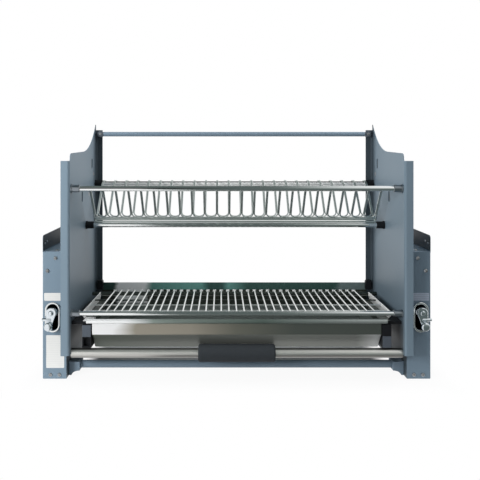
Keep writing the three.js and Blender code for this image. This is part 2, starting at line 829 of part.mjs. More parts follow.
const rodTopZ = plateLowerZ + plateTubeRadius + seatGap + 2 * pocketRodRadius;
const pocketZ = rodTopZ - weldDepth + separatorThickness / 2;
const overTubeZ = plateRearZ + plateTubeRadius + seatGap + separatorThickness / 2;
const frontBend = [separatorFrontBendBack, plateFrontZ];
const pocketFront = [plateLowerBack - pocketRadius, pocketZ];
const pocketRear = [plateLowerBack + pocketRadius, pocketZ];
const rearBend = [plateRearBack - separatorRearRun, overTubeZ];

function separator(x) {
  const wireBack = plateFrontBack + plateTubeRadius + seatGap;
  const hookBack = plateRearBack + plateTubeRadius + seatGap + separatorThickness / 2;
  const corners = inPlane(x, [
    [wireBack, plateFrontZ], frontBend, pocketFront, pocketRear, rearBend,
    [hookBack, overTubeZ], [hookBack, overTubeZ - hookDrop],
  ]);
  const section = flatSection(separatorWidth, separatorThickness);
  const front = rounded(corners.slice(0, 3), separatorBendRadius, bendSteps);
  const slope = Math.atan2(rearBend[1] - pocketRear[1], rearBend[0] - pocketRear[0]);
  const rearRadius = Math.min(separatorBendRadius, separatorRearRun / Math.tan(slope / 2));
  const rear = rounded(corners.slice(3, 6), rearRadius, bendSteps);
  const hook = rounded(corners.slice(4), hookRadius, wireBendSteps);
  return swept([...front, ...rear.slice(0, -1), ...hook.slice(1)], xAxis, section);
}

// A loop between two separators, in the plane of the wires that go down to the pocket.
function pocketLoop(x, foot, head) {
  const [low, high] = inPlane(0, [foot, head]);
  const up = high.clone().sub(low).normalize();
  const at = (across, rise) => low.clone().addScaledVector(up, rise).setX(across);
  const corners = [
    at(x, loopRise + loopRadius + weldDepth), at(x, loopRise), at(x + separatorPitch, loopRise),
    at(x + separatorPitch, loopRise + loopRadius + weldDepth),
  ];
  const normal = new THREE.Vector3().crossVectors(xAxis, up);
  return swept(rounded(corners, loopRadius, bendSteps), normal, flatSection(loopThickness, loopThickness));
}

// A long rod that the loops stand on, between the first and the last wire.
function loopRod(foot, head) {
  const [low, high] = inPlane(0, [foot, head]);
  const up = high.clone().sub(low).normalize();
  const rise = loopRise - loopThickness / 2 - loopRodRadius + weldDepth;
  const { y, z } = low.addScaledVector(up, rise);
  return rodX(loopRodRadius, -pocketRodX, pocketRodX, y, z, wireSides);
}

function plateWires() {
  const rodZ = rodTopZ - pocketRodRadius;
  const pieces = [
    rodX(pocketRodRadius, -pocketRodX, pocketRodX, atBack(plateLowerBack), rodZ, wireSides),
    loopRod(pocketFront, frontBend), loopRod(pocketRear, rearBend),
  ];
  const firstX = -separatorPitch * (separatorCount - 1) / 2;
  for (let i = 0; i < separatorCount; i += 1) {
    const x = firstX + i * separatorPitch;
    pieces.push(separator(x));
    if (i < separatorCount - 1) {
      pieces.push(pocketLoop(x, pocketFront, frontBend), pocketLoop(x, pocketRear, rearBend));
    }
  }
  return joined(...pieces);
}

addPiece(basket, 'plate_wires', plateWires(), chrome);

// Tie bar between the peaks of the panels, with an end boss on each rear flange

const tieBarBack = panelDepth - panelSheet - seatGap - tieBossLength / 2;
const tieBossX = webInnerX - panelBendRadius - tieBossRadius;

addPiece(basket, 'tie_bar', tubeX(tieBarRadius, tieBarWall, tieBossX - tieBossRadius - seatGap), paint)
  .position.set(0, atBack(tieBarBack), tieBarZ);

function tieBoss() {
  const rear = panelDepth - panelSheet - seatGap;
  const boss = rodY(tieBossRadius, atBack(rear - tieBossLength), atBack(rear), tieBossX, tieBarZ, boltSides);
  const spigotRadius = tieBarRadius - tieBarWall - seatGap;
  const spigotX = tieBossX - 2 * tieBossRadius;
  return joined(boss, rodX(spigotRadius, spigotX, tieBossX, atBack(tieBarBack), tieBarZ));
}

addPair(basket, 'tie_boss', tieBoss(), blackPlastic);

// Bowl rack: wires from front to back on cross rods, hooked over the rear rail

const hookTurn = (railRadius + seatGap) / Math.cos(Math.PI / (4 * bendSteps)) + bowlWireThickness / 2;
const rearRailZ = bowlWireZ - hookTurn;
const bowlCrossZ = bowlWireZ - bowlWireThickness / 2 - bowlCrossThickness / 2 + weldDepth;

addPiece(basket, 'bowl_rear_rail', tubeX(railRadius, railWall, webInnerX - seatGap), steel)
  .position.set(0, atBack(rearRailBack), rearRailZ);

function bowlWire(x) {
  const frontBack = railBack + railRadius + seatGap;
  const corners = inPlane(x, [
    [frontBack, bowlWireZ], [rearRailBack + hookTurn, bowlWireZ],
    [rearRailBack + hookTurn, rearRailZ - bowlHookDrop],
  ]);
  return swept(rounded(corners, hookTurn, bendSteps), xAxis, flatSection(bowlWireThickness, bowlWireThickness));
}

function bowlSide(sign) {
  const inner = bowlSideX - bowlSideThickness / 2;
  const outer = bowlSideX + bowlSideThickness / 2;
  const topZ = bowlWireZ + bowlWireThickness / 2;
  const lowZ = topZ - bowlSideHeight;
  const frontBack = railBack + railRadius + runningGap;
  const rearBack = panelDepth - bowlSideRearInset;
  const shape = polygon([
    [atBack(frontBack), topZ], [atBack(frontBack), (lowZ + topZ) / 2], [atBack(bowlCrossFrontBack), lowZ],
    [atBack(rearBack - bowlSideHeight / 2), lowZ], [atBack(rearBack), (lowZ + topZ) / 2],
    [atBack(rearBack), topZ],
  ]);
  return sign > 0 ? prismX(shape, inner, outer) : prismX(shape, -outer, -inner);
}

function bowlWires() {
  const pieces = [bowlSide(-1), bowlSide(1)];
  for (const back of [bowlCrossFrontBack, bowlCrossMiddleBack, bowlCrossRearBack]) {
    const path = [
      new THREE.Vector3(-bowlSideX, atBack(back), bowlCrossZ), new THREE.Vector3(bowlSideX, atBack(back), bowlCrossZ),
    ];
    pieces.push(swept(path, zAxis, flatSection(bowlCrossThickness, bowlCrossThickness)));
  }
  const firstX = -bowlWirePitch * (bowlWireCount - 1) / 2;
  for (let i = 0; i < bowlWireCount; i += 1) {
    pieces.push(bowlWire(firstX + i * bowlWirePitch));
  }
  return joined(...pieces);
}

addPiece(basket, 'bowl_rack', bowlWires(), chrome);

// Guard strip behind the bowl rack and its end fittings

function guardStrip() {
  const rear = panelDepth - panelSheet - seatGap;
  const top = guardBottomZ + guardHeight;
  const path = [
    [rear - guardThickness / 2 - guardLip, guardBottomZ], [rear - guardThickness / 2, guardBottomZ],
    [rear - guardThickness / 2, top],
  ];
  const section = flatSection(2 * guardX, guardThickness);
  return swept(rounded(inPlane(0, path), guardBendRadius, bendSteps), xAxis, section);
}

addPiece(basket, 'guard_strip', guardStrip(), stainless);

function guardFitting() {
  const x0 = guardX + seatGap;
  const x1 = webInnerX - panelBendRadius;
  const shape = new THREE.Shape();
  shape.moveTo(x0, fittingBottomZ);
  shape.lineTo(x1, fittingBottomZ);
  shape.lineTo(x1, fittingTopZ);
  shape.lineTo(x0 + fittingRadius, fittingTopZ);
  shape.quadraticCurveTo(x0, fittingTopZ, x0, fittingTopZ - fittingRadius);
  shape.closePath();
  const rear = panelDepth - panelSheet - seatGap;
  return prismY(shape, atBack(rear - fittingThickness), atBack(rear));
}

addPair(basket, 'guard_fitting', guardFitting(), blackPlastic);

// Drip tray: folded trough with a rolled front rim and lips on its ends

const hangerTopZ = trayRimZ - traySheet - seatGap;

function trayProfile(inset) {
  return [
    [trayFrontBack + inset, trayRimZ + (inset ? overrun + trayRimRadius : 0)],
    [trayFrontBack + inset, trayKneeZ + inset / 2],
    [trayFloorBack + inset / 2, trayFloorZ + inset],
    [trayRearBack - inset, trayFloorZ + inset],
    [trayRearBack - inset, trayRimZ + (inset ? overrun + trayRimRadius : 0)],
  ].map(([back, z]) => [atBack(back), z]);
}

function dripTray() {
  const outside = prismX(polygon(trayProfile(0)), -trayX, trayX);
  const inside = prismX(polygon(trayProfile(traySheet)), -trayX + traySheet, trayX - traySheet);
  const rimX = trayX + trayRimOverhang;
  const rim = rodX(trayRimRadius, -rimX, rimX, atBack(trayFrontBack), trayRimZ);
  const lipY = [atBack(hangerFrontBack + trayRimRadius + seatGap), atBack(trayRearBack)];
  const lipX = trayX + trayEndLip;
  const lips = [
    block(-lipX, -trayX + traySheet, ...lipY, trayRimZ - traySheet, trayRimZ),
    block(trayX - traySheet, lipX, ...lipY, trayRimZ - traySheet, trayRimZ),
  ];
  return joined(cut(outside, inside), rim, ...lips);
}

addPiece(basket, 'drip_tray', dripTray(), stainless);

// Tray hangers: plastic brackets between the tray's ends and the panels

function trayHanger() {
  const innerX = trayX + hangerSideGap;
  const outerX = innerX + hangerWidth;
  const shelfZ = hangerTopZ - hangerShelf;
  const rearY = atBack(panelDepth - hangerRearInset);
  const wall = block(innerX, outerX, atBack(hangerFrontBack), rearY, hangerBottomZ, shelfZ);
  const shelfFront = atBack(hangerFrontBack + trayRimRadius + seatGap);
  const shelf = block(innerX, webInnerX - seatGap, shelfFront, rearY, shelfZ - weldDepth, hangerTopZ);
  return joined(wall, shelf);
}

addPair(basket, 'tray_hanger', trayHanger(), greyPlastic);

// Handle tube and foam grip

addPiece(basket, 'handle_tube', tubeX(handleRadius, handleWall, webInnerX - seatGap), chrome)
  .position.set(0, atBack(handleBack), handleZ);

function handleGrip() {
  const bore = (handleRadius + seatGap) / Math.cos(Math.PI / boltSides);
  const half = gripLength / 2;
  const profile = [
    [bore, -half], [gripRadius - gripEndRadius, -half], [gripRadius, -half + gripEndRadius],
    [gripRadius, half - gripEndRadius], [gripRadius - gripEndRadius, half], [bore, half],
  ];
  return turnedX(profile, atBack(handleBack), handleZ, boltSides);
}

addPiece(basket, 'handle_grip', handleGrip(), foam);

export default rack;
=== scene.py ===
"""The finished look of a pull down dish rack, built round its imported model.

Everything is modelled in millimetres and scaled to metres when a piece is finished.
X runs to the right, Y to the back and Z up. A place called back is measured from the
front plane of the side panels.
"""

from __future__ import annotations

import logging
import math
from abc import ABC, abstractmethod
from dataclasses import dataclass
from enum import Enum
from typing import Any, Callable, Iterable, Sequence

import bmesh
import bpy
from mathutils import Euler, Matrix, Vector


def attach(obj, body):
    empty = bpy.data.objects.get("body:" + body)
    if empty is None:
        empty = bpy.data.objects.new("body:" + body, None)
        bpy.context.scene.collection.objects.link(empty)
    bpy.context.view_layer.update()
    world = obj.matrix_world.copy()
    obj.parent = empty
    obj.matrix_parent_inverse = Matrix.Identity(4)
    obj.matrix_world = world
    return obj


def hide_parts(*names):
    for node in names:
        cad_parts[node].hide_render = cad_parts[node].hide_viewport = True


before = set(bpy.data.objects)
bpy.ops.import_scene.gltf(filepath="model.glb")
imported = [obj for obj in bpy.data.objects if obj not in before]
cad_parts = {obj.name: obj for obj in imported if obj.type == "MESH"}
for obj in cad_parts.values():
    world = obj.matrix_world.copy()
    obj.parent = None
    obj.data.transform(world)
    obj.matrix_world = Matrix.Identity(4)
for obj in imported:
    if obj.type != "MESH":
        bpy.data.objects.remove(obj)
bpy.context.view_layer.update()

LOG = logging.getLogger("dish_rack")
FRONT_Y = -133.5
METRES = 0.001
# Where a finish fades in, in metres: on the panel web's inner face, and short of its rear face
WEB_INSIDE = (0.3663, 0.3656)
PANEL_REAR = (0.1332, 0.1326)
Point = tuple[float, float, float]
Test = Callable[[Vector, Vector], bool]


def at_back(back: float) -> float:
    """Gives the Y of a place that lies back behind the panels' front plane."""
    return FRONT_Y + back


class Axis(Enum):
    """An axis of the frame, with the turn that lays an upright primitive along it."""

    X = (0.0, math.pi / 2, 0.0)
    Y = (-math.pi / 2, 0.0, 0.0)
    Z = (0.0, 0.0, 0.0)

    @property
    def line(self) -> Vector:
        """The axis as a unit vector."""
        return {"X": Vector((1, 0, 0)), "Y": Vector((0, 1, 0)), "Z": Vector((0, 0, 1))}[self.name]


class Part(Enum):
    """What a selection in edit mode is made of."""

    FACES = "FACE"
    EDGES = "EDGE"


class Side(Enum):
    """A side of the rack, with the sign of its X."""

    LEFT = -1
    RIGHT = 1

    @property
    def word(self) -> str:
        """The side as it stands in names."""
        return self.name.lower()


# Shader maths and finishes


class ShaderValue:
    """A socket of a node tree that takes part in Python expressions."""

    def __init__(self, tree: "NodeSheet", socket: bpy.types.NodeSocket) -> None:
        """Wraps one output socket.

        Args:
            tree: The sheet of nodes that the socket is on.
            socket: The output socket.
        """
        self.tree = tree
        self.socket = socket

    def _math(self, operation: str, first: Any, second: Any) -> "ShaderValue":
        """Adds a Math node on two values or numbers."""
        return self.tree.add("ShaderNodeMath", {"operation": operation}, {0: first, 1: second})

    def __add__(self, other: Any) -> "ShaderValue":
        """Adds a value or number."""
        return self._math("ADD", self, other)

    def __radd__(self, other: Any) -> "ShaderValue":
        """Adds this value to a number."""
        return self._math("ADD", other, self)

    def __sub__(self, other: Any) -> "ShaderValue":
        """Takes a value or number away."""
        return self._math("SUBTRACT", self, other)

    def __rsub__(self, other: Any) -> "ShaderValue":
        """Takes this value away from a number."""
        return self._math("SUBTRACT", other, self)

    def __mul__(self, other: Any) -> "ShaderValue":
        """Multiplies by a value or number."""
        return self._math("MULTIPLY", self, other)

    def __rmul__(self, other: Any) -> "ShaderValue":
        """Multiplies a number by this value."""
        return self._math("MULTIPLY", other, self)

    def __abs__(self) -> "ShaderValue":
        """Gives the value without its sign."""
        return self.tree.add("ShaderNodeMath", {"operation": "ABSOLUTE"}, {0: self})

    def __gt__(self, other: Any) -> "ShaderValue":
        """Is 1 where this value is the greater."""
        return self._math("GREATER_THAN", self, other)

    def fade(self, low: float, high: float) -> "ShaderValue":
        """Rises smoothly from 0 at low to 1 at high, or falls where high is below low."""
        return self.tree.add(
            "ShaderNodeMapRange", {"interpolation_type": "SMOOTHSTEP"}, {0: self, 1: low, 2: high}
        )


class NodeSheet:
    """The node tree of one material or world."""

    def __init__(self, tree: bpy.types.NodeTree) -> None:
        """Empties a node tree.

        Args:
            tree: The tree that the nodes go in.
        """
        self.tree = tree
        self.tree.nodes.clear()

    def add(
        self, kind: str, settings: dict[str, Any] | None = None, sockets: dict[Any, Any] | None = None,
        output: int | str = 0,
    ) -> ShaderValue:
        """Adds a node.

        Args:
            kind: The node's type.
            settings: The node's own settings, and stops for a ramp.
            sockets: Values or links for its inputs.
            output: Which output is handed back.

        Returns:
            The chosen output.
        """
        node = self.tree.nodes.new(kind)
        for name, value in (settings or {}).items():
            if name == "stops":
                self._set_stops(node.color_ramp, value)
            else:
                setattr(node, name, value)
        for name, value in (sockets or {}).items():
            if isinstance(value, ShaderValue):
                self.tree.links.new(value.socket, node.inputs[name])
            else:
                node.inputs[name].default_value = value
        return ShaderValue(self, node.outputs[output]) if node.outputs else ShaderValue(self, None)

    @staticmethod
    def _set_stops(ramp: bpy.types.ColorRamp, stops: Sequence[tuple[float, tuple]]) -> None:
        """Sets a ramp's places and colours."""
        while len(ramp.elements) < len(stops):
            ramp.elements.new(0.5)
        for element, (place, colour) in zip(ramp.elements, stops):
            element.position = place
            element.color = colour

    def blend(self, share: Any, first: Any, second: Any) -> ShaderValue:
        """Mixes two colours by a share of the second."""
        return self.add("ShaderNodeMix", {"data_type": "RGBA"}, {0: share, 6: first, 7: second}, 2)

    def place(self, stretch: Point = (1, 1, 1)) -> ShaderValue:
        """Gives Object coordinates, stretched by a factor on each axis."""
        own = self.add("ShaderNodeTexCoord", output="Object")
        return self.add("ShaderNodeMapping", None, {"Vector": own, "Scale": stretch})

    def along(self, axis: Axis) -> ShaderValue:
        """Gives the Object coordinate along one axis."""
        return self.add("ShaderNodeSeparateXYZ", None, {0: self.place()}, axis.name)

    def ramp(self, stops: Sequence[tuple[float, tuple]], place: ShaderValue) -> ShaderValue:
        """Reads a run of colours at a place between 0 and 1."""
        return self.add("ShaderNodeValToRGB", {"stops": stops}, {0: place})

    def cloud(self, place: ShaderValue, scale: float, detail: float = 3.0) -> ShaderValue:
        """Gives soft noise between 0 and 1."""
        return self.add("ShaderNodeTexNoise", None, {"Vector": place, "Scale": scale, "Detail": detail})

    def bump(self, height: ShaderValue, depth: float, strength: float) -> ShaderValue:
        """Turns a height into a normal."""
        sockets = {"Height": height, "Distance": depth, "Strength": strength}
        return self.add("ShaderNodeBump", None, sockets)


@dataclass(frozen=True)
class Finish(ABC):
    """What one kind of surface looks like."""

    name: str
    slot: str
    colour: tuple[float, float, float]

    @abstractmethod
    def dress(self, sheet: NodeSheet) -> dict[str, Any]:
        """Gives the surface's sockets.

        Args:
            sheet: The material's nodes.

        Returns:
            Values and links for the surface shader.
        """

    def shade(self, factor: float) -> tuple[float, float, float, float]:
        """Gives the colour made lighter or darker."""
        return (*(min(1.0, part * factor) for part in self.colour), 1.0)

    def make(self) -> bpy.types.Material:
        """Builds the material.

        Returns:
            The material, with its nodes.
        """
        material = bpy.data.materials.new(self.name)
        material.use_nodes = True
        sheet = NodeSheet(material.node_tree)
        surface = sheet.add("ShaderNodeBsdfPrincipled", None, self.dress(sheet))
        sheet.add("ShaderNodeOutputMaterial", None, {"Surface": surface})
        material.diffuse_color = self.shade(1.0)
        return material


@dataclass(frozen=True)
class PowderCoat(Finish):
    """Satin powder coat with a faint orange peel. Its rear, low and recess factors paint shade by place."""

    gloss: float = 0.4
    rear: float = 1.0
    low: float = 1.0
    recess: float = 1.0

    def recessed(self, aside: ShaderValue, y: ShaderValue, z: ShaderValue) -> ShaderValue:
        """Is 1 where the recess shade is painted, low down at the back."""
        return y.fade(0.1, 0.13) * z.fade(0.1, 0.05)

    def dress(self, sheet: NodeSheet) -> dict[str, Any]:
        """Gives slow changes of tone, fine peel and a soft sheen."""
        slow = sheet.cloud(sheet.place(), 7.0)
        peel = sheet.cloud(sheet.place(), 620.0, 2.0)
        flecks = sheet.cloud(sheet.place(), 1900.0, 1.0)
        tone = sheet.blend(slow * 0.7 + flecks * 0.3, self.shade(0.92), self.shade(1.08))
        aside, y, z = abs(sheet.along(Axis.X)), sheet.along(Axis.Y), sheet.along(Axis.Z)
        inner = aside.fade(*WEB_INSIDE) * y.fade(*PANEL_REAR)
        tone = sheet.blend(z.fade(0.42, 0.12) * inner, tone, self.shade(self.low))
        tone = sheet.blend(y.fade(0.085, 0.128) * inner, tone, self.shade(self.rear))
        tone = sheet.blend(self.recessed(aside, y, z), tone, self.shade(self.recess))
        return {
            "Base Color": tone, "Roughness": self.gloss + slow * 0.12,
            "Normal": sheet.bump(peel, 0.00025, 0.2), "Specular IOR Level": 0.4,
        }


@dataclass(frozen=True)
class PanelCoat(PowderCoat):
    """The panels' coat, with shade painted in the low corner behind the flange."""

    def recessed(self, aside: ShaderValue, y: ShaderValue, z: ShaderValue) -> ShaderValue:
        """Is 1 low on the web's inner side, behind the flange."""
        return y.fade(-0.127, -0.118) * z.fade(0.15, 0.115) * aside.fade(*WEB_INSIDE)


@dataclass(frozen=True)
class BoxCoat(PowderCoat):
    """The boxes' coat, with painted shade on the inner face of the ears."""

    def recessed(self, aside: ShaderValue, y: ShaderValue, z: ShaderValue) -> ShaderValue:
        """Is 1 where the shade is painted: above the top plate, on the side that faces the rack."""
        return z.fade(0.2835, 0.286) * aside.fade(0.4317, 0.431)


@dataclass(frozen=True)
class ChromePlate(Finish):
    """Bright plating with faint drawing lines along X."""

    rough: float = 0.07

    def dress(self, sheet: NodeSheet) -> dict[str, Any]:
        """Gives a mirror that is a little uneven."""
        slow = sheet.cloud(sheet.place(), 14.0)
        lines = sheet.cloud(sheet.place((3.0, 300.0, 300.0)), 1.0, 2.0)
        tone = sheet.blend(slow, self.shade(0.95), self.shade(1.02))
        return {
            "Base Color": tone, "Metallic": 1.0, "Roughness": self.rough + slow * 0.05,
            "Normal": sheet.bump(lines, 0.00008, 0.12),
        }


@dataclass(frozen=True)
class MirrorSheet(Finish):
    """Polished sheet with the photograph's reflected fields painted along X."""

    def dress(self, sheet: NodeSheet) -> dict[str, Any]:
        """Gives the painted fields on the front face, hardly metallic. They don't follow the lights."""
        x, y, z = (sheet.along(axis) for axis in Axis)
        slow = sheet.cloud(sheet.place((9.0, 60.0, 60.0)), 1.0)
        along = x * 1.4286 + 0.485 + slow * 0.03
        dark, green = (0.045, 0.1, 0.09, 1), (0.15, 0.35, 0.315, 1)
        deep, pale, grey = (0.05, 0.11, 0.095, 1), (0.97, 0.98, 0.98, 1), (0.19, 0.25, 0.25, 1)
        stops = [
            (0.0, deep), (0.045, deep), (0.06, pale), (0.165, pale), (0.19, green), (0.37, green), (0.4, dark),
            (0.45, dark), (0.48, green), (0.55, deep), (0.88, deep), (0.9, grey), (1.0, grey),
        ]
        upper = sheet.ramp(stops, along)
        light = along.fade(0.05, 0.06) * along.fade(0.18, 0.165)
        olive = sheet.blend(light, (0.05, 0.058, 0.047, 1), pale)
        front = sheet.blend(z.fade(0.146, 0.142), upper, olive)
        tone = sheet.blend(y.fade(0.1306, 0.1313), front, (0.36, 0.38, 0.37, 1))
        return {"Base Color": tone, "Metallic": 0.3 - light * 0.3, "Roughness": 0.2 + slow * 0.1}


@dataclass(frozen=True)
class TraySheet(Finish):
    """Brushed sheet with the photograph's light and dark fields painted on its faces."""

    fold_z: float = 0.1025
    inside_y: float = -0.088

    def dress(self, sheet: NodeSheet) -> dict[str, Any]:
        """Gives one run of tones above the fold, one below it, and fine brush lines over both."""
        x, y, z = (sheet.along(axis) for axis in Axis)
        brush = sheet.cloud(sheet.place((6.0, 900.0, 900.0)), 1.0, 4.0)
        slow = sheet.cloud(sheet.place((5.0, 30.0, 30.0)), 1.0)
        along = x * 1.5 + 0.47 + slow * 0.06
        pale, beige, olive = (0.9, 0.9, 0.9, 1), (0.33, 0.3, 0.245, 1), (0.09, 0.102, 0.09, 1)
        upper = [(0.0, pale), (0.1, pale), (0.17, beige), (0.35, beige), (0.5, (0.16, 0.16, 0.13, 1)), (0.7, olive)]
        lower = [
            (0.0, (0.11, 0.13, 0.105, 1)), (0.25, (0.19, 0.2, 0.18, 1)), (0.6, (0.27, 0.28, 0.255, 1)),
            (0.9, (0.25, 0.26, 0.24, 1)), (0.96, (0.6, 0.61, 0.6, 1)),
        ]
        high, low = sheet.ramp(upper, along), sheet.ramp(lower, along)
        front = sheet.blend(z.fade(self.fold_z - 0.001, self.fold_z + 0.001), low, high)
        patch = x.fade(-0.305, -0.295) * x.fade(-0.218, -0.225) * z.fade(0.12, 0.124)
        wall = sheet.blend(z.fade(0.121, 0.116), self.shade(0.7), (0.24, 0.27, 0.26, 1))
        inside = sheet.blend(patch, wall, pale)
        tone = sheet.blend(y.fade(self.inside_y, self.inside_y + 0.004), front, inside)
        return {
            "Base Color": tone, "Metallic": 0.35, "Roughness": 0.3 + brush * 0.16,
            "Normal": sheet.bump(brush, 0.00012, 0.25),
        }


@dataclass(frozen=True)
class SatinTube(Finish):
    """Polished steel tube along X with light and dark bands painted round it."""

    axis_z: float = 0.0605
    radius: float = 0.0105

    def dress(self, sheet: NodeSheet) -> dict[str, Any]:
        """Gives the painted bands under fine drawing lines."""
        z = sheet.along(Axis.Z)
        lines = sheet.cloud(sheet.place((3.0, 500.0, 500.0)), 1.0, 3.0)
        round_it = (z - self.axis_z) * (0.5 / self.radius) + 0.5
        # Painted reflection: a bright band on the front, dark towards the top and the bottom.
        shaded_band, bright = self.shade(0.3), self.shade(1.0)
        stops = [(0.0, shaded_band), (0.28, self.shade(0.45)), (0.56, bright), (0.86, bright), (0.94, shaded_band)]
        tone = sheet.ramp(stops, round_it)
        return {
            "Base Color": tone, "Metallic": 0.9, "Roughness": 0.27 + lines * 0.12,
            "Normal": sheet.bump(lines, 0.0001, 0.2),
        }


@dataclass(frozen=True)
class RimRoll(Finish):
    """Rolled rim with the photograph's reflected tones painted along X."""

    def dress(self, sheet: NodeSheet) -> dict[str, Any]:
        """Gives one soft run of painted tones."""
        slow = sheet.cloud(sheet.place(), 14.0)
        along = sheet.along(Axis.X) * 1.5 + 0.5 + slow * 0.04
        stops = [
            (0.0, (0.9, 0.91, 0.91, 1)), (0.16, (0.9, 0.91, 0.91, 1)), (0.24, (0.27, 0.32, 0.29, 1)),
            (0.6, (0.13, 0.17, 0.15, 1)), (0.95, (0.33, 0.36, 0.345, 1)),
        ]
        tone = sheet.ramp(stops, along)
        return {"Base Color": tone, "Metallic": 0.45, "Roughness": 0.16 + slow * 0.08}


@dataclass(frozen=True)
class LinedTube(Finish):
    """Bright tube along X with a dark reflected line painted on the left part of its front."""

    line_z: float = 0.4248
    half: float = 0.0013

    def dress(self, sheet: NodeSheet) -> dict[str, Any]:
        """Gives a mirror with the line fading out to the right."""
        x, z = sheet.along(Axis.X), sheet.along(Axis.Z)
        slow = sheet.cloud(sheet.place(), 14.0)
        low, high = self.line_z - self.half, self.line_z + self.half
        line = z.fade(low - 0.0006, low) * z.fade(high + 0.0006, high) * x.fade(0.05, -0.2)
        tone = sheet.blend(line, self.shade(1.0), self.shade(0.22))
        return {"Base Color": tone, "Metallic": 1.0, "Roughness": 0.08 + slow * 0.05}


@dataclass(frozen=True)
class PaleTube(Finish):
    """Bright tube, pale as a painted reflection, with a dark line of painted reflection along its top."""

    line_z: float = 0.4286

    def dress(self, sheet: NodeSheet) -> dict[str, Any]:
        """Gives a pale satin surface, hardly metallic, that paints the reflection, and the dark line."""
        z = sheet.along(Axis.Z)
        slow = sheet.cloud(sheet.place((8.0, 40.0, 40.0)), 1.0)
        pale = sheet.blend(slow, self.shade(0.95), self.shade(1.03))
        tone = sheet.blend(z.fade(self.line_z - 0.0006, self.line_z), pale, (0.03, 0.034, 0.032, 1))
        return {"Base Color": tone, "Metallic": 0.15, "Roughness": 0.32 + slow * 0.1}


@dataclass(frozen=True)
class ZincSteel(Finish):
    """Zinc plate with a faint spangle."""

    def dress(self, sheet: NodeSheet) -> dict[str, Any]:
        """Gives cloudy grey metal."""
        spangle = sheet.add("ShaderNodeTexVoronoi", None, {"Vector": sheet.place(), "Scale": 260.0}, "Color")
        patch = sheet.cloud(spangle, 2.0, 1.0)
        tone = sheet.blend(patch, self.shade(0.85), self.shade(1.1))
        return {"Base Color": tone, "Metallic": 0.95, "Roughness": 0.3 + patch * 0.2}


@dataclass(frozen=True)
class CoiledSteel(Finish):
    """A plain round solid shown as close wound spring wire."""

    turns_per_metre: float = 420.0

    def dress(self, sheet: NodeSheet) -> dict[str, Any]:
        """Gives one ridge for each turn of the coil, in the material only, with painted shade in the grooves between
        turns.
        """
        ridges = sheet.add(
            "ShaderNodeTexWave", {"wave_type": "BANDS", "bands_direction": "Z"},
            {"Vector": sheet.place(), "Scale": self.turns_per_metre * 0.314},
        )
        tone = sheet.blend(ridges.fade(0.0, 0.6), self.shade(0.35), self.shade(1.1))
        return {
            "Base Color": tone, "Metallic": 0.9, "Roughness": 0.3 + ridges * 0.1,
            "Normal": sheet.bump(ridges, 0.0008, 0.9),
        }


@dataclass(frozen=True)
class MouldedPlastic(Finish):
    """Plastic from a finely eroded mould."""

    grain: float = 0.3

    def dress(self, sheet: NodeSheet) -> dict[str, Any]:
        """Gives a fine grain under a low gloss."""
        grain = sheet.cloud(sheet.place(), 1400.0, 2.0)
        slow = sheet.cloud(sheet.place(), 25.0)
        tone = sheet.blend(slow, self.shade(0.88), self.shade(1.12))
        return {
            "Base Color": tone, "Roughness": 0.42 + grain * 0.2, "Specular IOR Level": 0.15,
            "Normal": sheet.bump(grain, 0.0002, self.grain),
        }


@dataclass(frozen=True)
class FoamSleeve(Finish):
    """Closed foam with open pores on its skin."""

    def dress(self, sheet: NodeSheet) -> dict[str, Any]:
        """Gives small pores and a dry, soft surface."""
        cells = sheet.add("ShaderNodeTexVoronoi", None, {"Vector": sheet.place(), "Scale": 620.0})
        slow = sheet.cloud(sheet.place(), 45.0)
        pores = cells.fade(0.1, 0.55)
        tone = sheet.blend(pores * 0.6 + slow * 0.4, self.shade(0.7), self.shade(1.15))
        return {
            "Base Color": tone, "Roughness": 0.8 + slow * 0.15, "Specular IOR Level": 0.3,
            "Normal": sheet.bump(pores, 0.0006, 0.5),
        }


@dataclass(frozen=True)
class StickerPaper(Finish):
    """Coated paper with faint ruled lines."""

    rules: float = 0.1

    def dress(self, sheet: NodeSheet) -> dict[str, Any]:
        """Gives paper with a faint fibre."""
        fibre = sheet.cloud(sheet.place((1.0, 1.0, 3.0)), 500.0, 3.0)
        bands = sheet.add(
            "ShaderNodeTexWave", {"wave_type": "BANDS", "bands_direction": "Z"},
            {"Vector": sheet.place(), "Scale": 78.0},
        )
        plain = sheet.blend(fibre, self.shade(0.97), self.shade(1.02))
        tone = sheet.blend(bands.fade(0.8, 0.97) * self.rules, plain, (0.12, 0.14, 0.18, 1))
        return {"Base Color": tone, "Roughness": 0.45 + fibre * 0.1}


